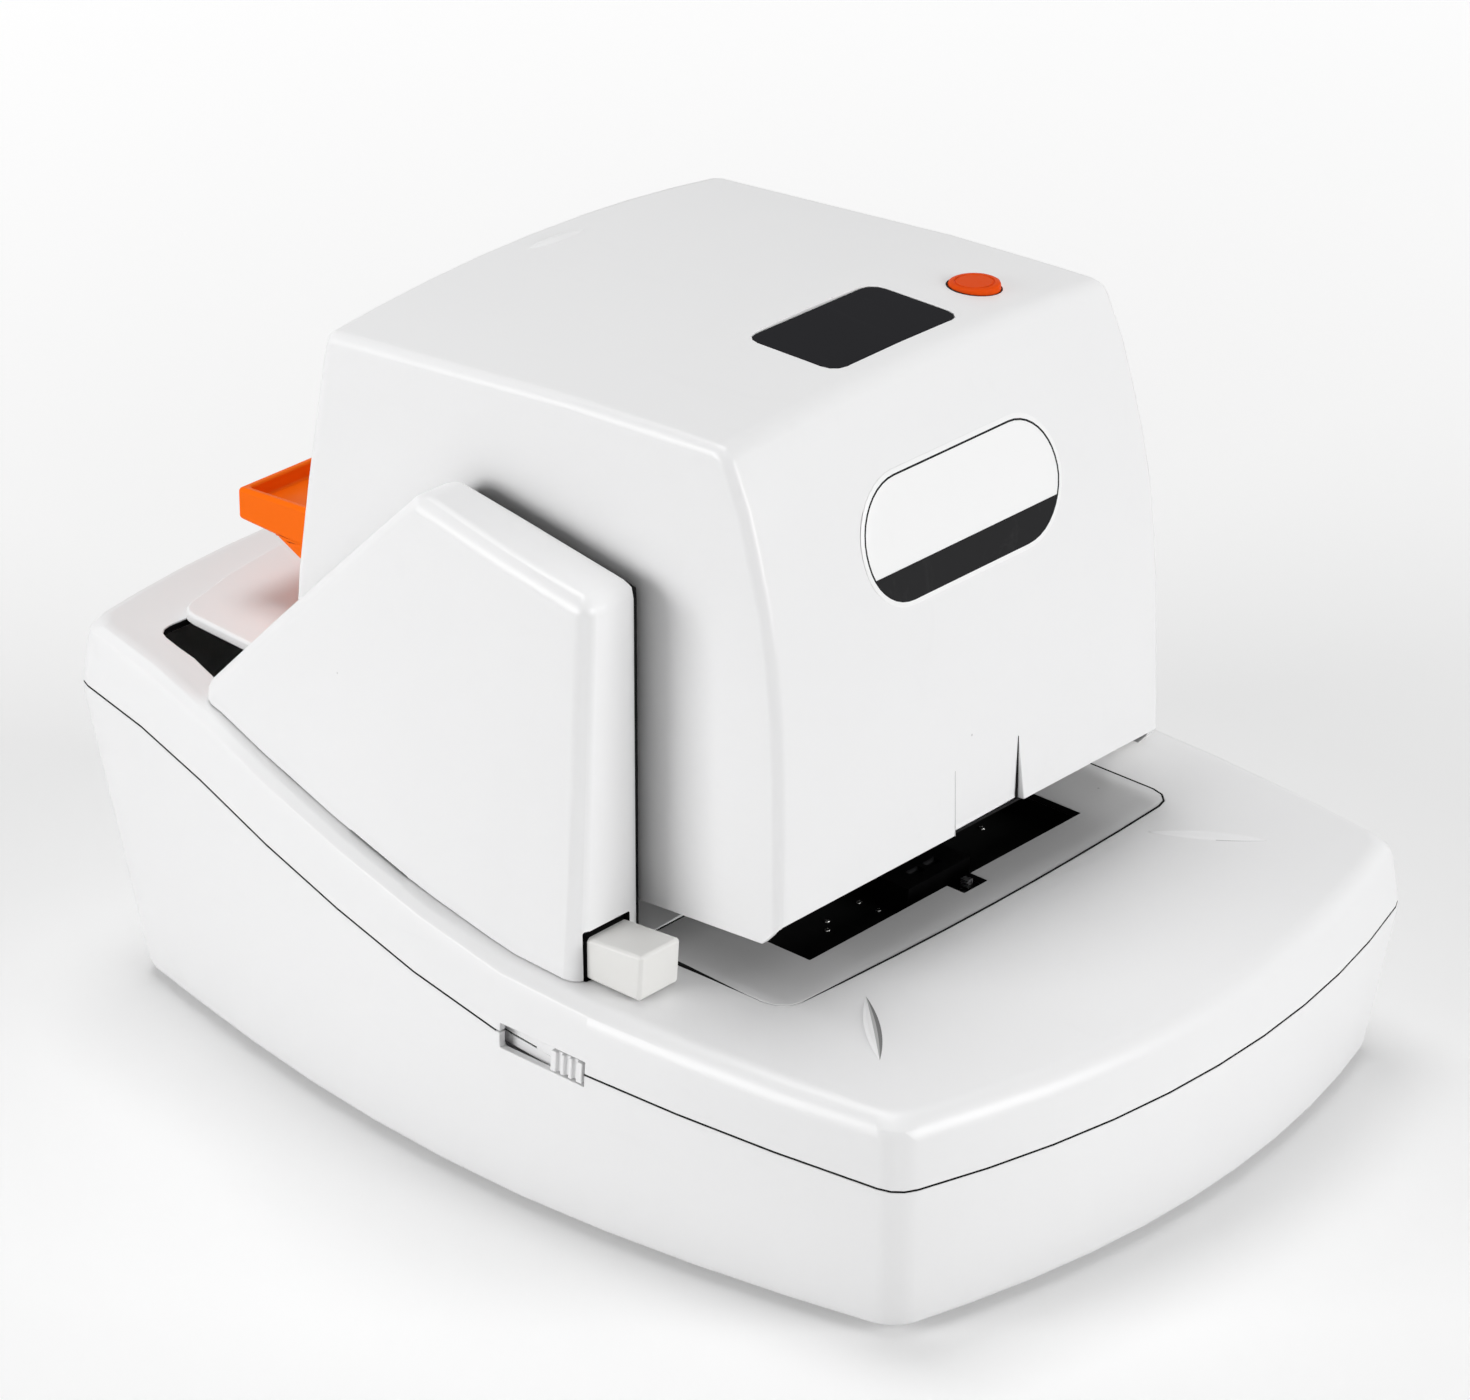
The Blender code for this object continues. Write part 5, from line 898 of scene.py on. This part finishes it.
shutterSet = {"outerX": -131.5, "thickness": 0.8, "nearY": -51.0, "farY": -24.0, "middle": 58.2, "halfHeight": 4.4,
              "slitHeight": 0.6, "slitDepth": 0.4, "slitLift": -0.9, "rise": 0.12, "inward": 0.055}


def shutterPlace(x, y, z):  # the slot climbs with the seam, and its wall turns inwards
    along = y - shutterSet["nearY"]
    return (x + shutterSet["inward"] * along, y, shutterSet["middle"] + z + shutterSet["rise"] * along)


def makeShutter():  # the strip behind the knob that closes its slot, with a fine groove along it, painted black inside as shade
    s = shutterSet
    body = bodyOf["stop_slider_knob"]
    outer, inner = s["outerX"], s["outerX"] + s["thickness"]
    low, high = s["slitLift"] - s["slitHeight"] / 2, s["slitLift"] + s["slitHeight"] / 2
    section = [(outer, -s["halfHeight"]), (outer, low), (outer + s["slitDepth"], low), (outer + s["slitDepth"], high),
               (outer, high), (outer, s["halfHeight"]), (inner, s["halfHeight"]), (inner, -s["halfHeight"])]
    places = [shutterPlace(x, y, z) for y in (s["nearY"], s["farY"]) for x, z in section]
    count = len(section)
    faces = [tuple(range(count)), tuple(range(2 * count - 1, count - 1, -1))] + ringFaces(2, count, True)
    meshPiece("slotShutter", places, faces, looks["white_plastic"], body, smooth=False)
    back = outer + s["slitDepth"] - 0.05
    strip = [shutterPlace(back, y, z) for y in (s["nearY"], s["farY"]) for z in (low, high)]
    meshPiece("shutterGroove", strip, [(0, 2, 3, 1)], blackAndPaintedShade, body, smooth=False)
    print("slot shutter made")


def screwHead(name, radius, height):  # a low domed head with a cross recess, its axis along +Z, in mm
    steps = 12
    turns = [math.tau * (step + 0.5) / steps for step in range(steps)]
    rings = [[(radius * share * math.cos(turn), radius * share * math.sin(turn), height * lift) for turn in turns]
             for share, lift in ((1.0, 0.0), (1.0, 0.35), (0.93, 0.7), (0.76, 0.93), (0.60, 1.0))]
    arm, half = 0.48 * radius, 0.11 * radius
    cross = [(arm, half), (half, half), (half, arm), (-half, arm), (-half, half), (-arm, half),
             (-arm, -half), (-half, -half), (-half, -arm), (half, -arm), (half, -half), (arm, -half)]
    rings.append([(x, y, height) for x, y in cross])
    rings.append([(x * 0.6, y * 0.6, height * 0.1) for x, y in cross])
    faces = ringFaces(len(rings), steps)
    faces.append(tuple(range((len(rings) - 1) * steps, len(rings) * steps)))
    mesh = bpy.data.meshes.new(name)
    mesh.from_pydata([Vector(place) * mm for ring in rings for place in ring], [], faces)
    shade(mesh, 40)
    return bpy.data.objects.new(name, mesh)


def screwTree():  # one screw head at each point, turned by its own angle
    tree, sockets, entry, out = newTree("screwRow", [("Head", "NodeSocketObject", None),
                                                     ("Flip", "NodeSocketFloat", 0.0), ("Seed", "NodeSocketInt", 3),
                                                     ("Finish", "NodeSocketMaterial", None)])
    source = addNode(tree, "GeometryNodeObjectInfo", (-600, -200))
    points = addNode(tree, "GeometryNodeMeshToPoints", (-600, 100))
    turn = addNode(tree, "FunctionNodeRandomValue", (-600, -450), {2: 0.0, 3: math.tau}, data_type="FLOAT")
    euler = addNode(tree, "ShaderNodeCombineXYZ", (-350, -400))
    place = addNode(tree, "GeometryNodeInstanceOnPoints", (0, 0))
    join(tree, (entry, "Geometry", points, "Mesh"), (entry, "Head", source, "Object"), (entry, "Seed", turn, "Seed"),
         (entry, "Flip", euler, "X"), (turn, 1, euler, "Z"), (points, "Points", place, "Points"),
         (source, "Geometry", place, "Instance"), (euler, "Vector", place, "Rotation"))
    endTree(tree, entry, out, place, "Instances")
    return tree, sockets


screwRows = {"throatScrews": {"node": "anvil_carrier", "radius": 1.1, "height": 0.7, "flip": 0.0, "from": 300.0,
                              "places": [(-33.2, -70.5), (-28.8, -66.9), (-12.6, -66.2), (-12.3, -73.6),
                                         (52.2, -63.0)]},
             "undersideScrews": {"node": "lower_case", "radius": 3.4, "height": 1.6, "flip": math.pi, "from": -50.0,
                                 "places": [(-104.0, -112.0), (104.0, -112.0), (-96.0, 40.0), (96.0, 40.0),
                                            (-60.0, 160.0), (60.0, 160.0), (0.0, -160.0), (0.0, 100.0)]}}


def makeScrews():
    tree, sockets = screwTree()
    for name, row in screwRows.items():
        surface = surfaceOf(row["node"])
        head = screwHead(name + "Head", row["radius"], row["height"])
        down = Vector((0.0, 0.0, -1.0 if row["from"] > 0 else 1.0))
        spots = [surface.ray_cast(Vector((x, y, row["from"])) * mm, down)[0] for x, y in row["places"]]
        mesh = bpy.data.meshes.new(name)
        mesh.from_pydata(spots, [], [])
        grownPiece(name, mesh, tree, sockets, {"Head": head, "Flip": row["flip"], "Seed": 5, "Finish": screwZinc},
                   bodyOf[row["node"]])
        bpy.data.objects.remove(head)


ratingSet = {"centre": (0.0, -40.0), "half": (32.0, 19.0), "corner": 3.0, "thickness": 0.25}


def makeRatingPlate():  # a bare plate on the underside
    x0, y0 = ratingSet["centre"]
    halfX, halfY = ratingSet["half"]
    corner = ratingSet["corner"]
    surface = surfaceOf("lower_case")
    z = surface.ray_cast(Vector((x0, y0, -50.0)) * mm, Vector((0.0, 0.0, 1.0)))[0].z / mm
    ring = []
    for turn, (sx, sy) in enumerate(((1, 1), (-1, 1), (-1, -1), (1, -1))):
        for step in range(7):
            angle = math.pi / 2 * (turn + step / 6)
            ring.append((x0 + sx * (halfX - corner) + corner * math.cos(angle),
                         y0 + sy * (halfY - corner) + corner * math.sin(angle)))
    count = len(ring)
    places = [(x, y, z + 0.05) for x, y in ring] + [(x, y, z - ratingSet["thickness"]) for x, y in ring]
    faces = [tuple(range(2 * count - 1, count - 1, -1))] + ringFaces(2, count, True)
    meshPiece("ratingPlate", places, faces, plateSilver, bodyOf["lower_case"])
    print("rating plate laid")


makeCamera()
makeFloor()
makeWorld()
makeLamps()
dressNodes()
for node, settings in softHousings.items():
    piece = softenedCopy(node, settings)
    print("housing softened:", node, len(piece.data.polygons))
makeSeamShade()
makeInsertShade()
makeScoopLines()
makeGapShade()
makeSpring()
makeButton()
makeLabel()
makeLeafMarks()
makeShutter()
makeScrews()
makeRatingPlate()

scene = bpy.context.scene
scene.view_settings.view_transform = "Standard"
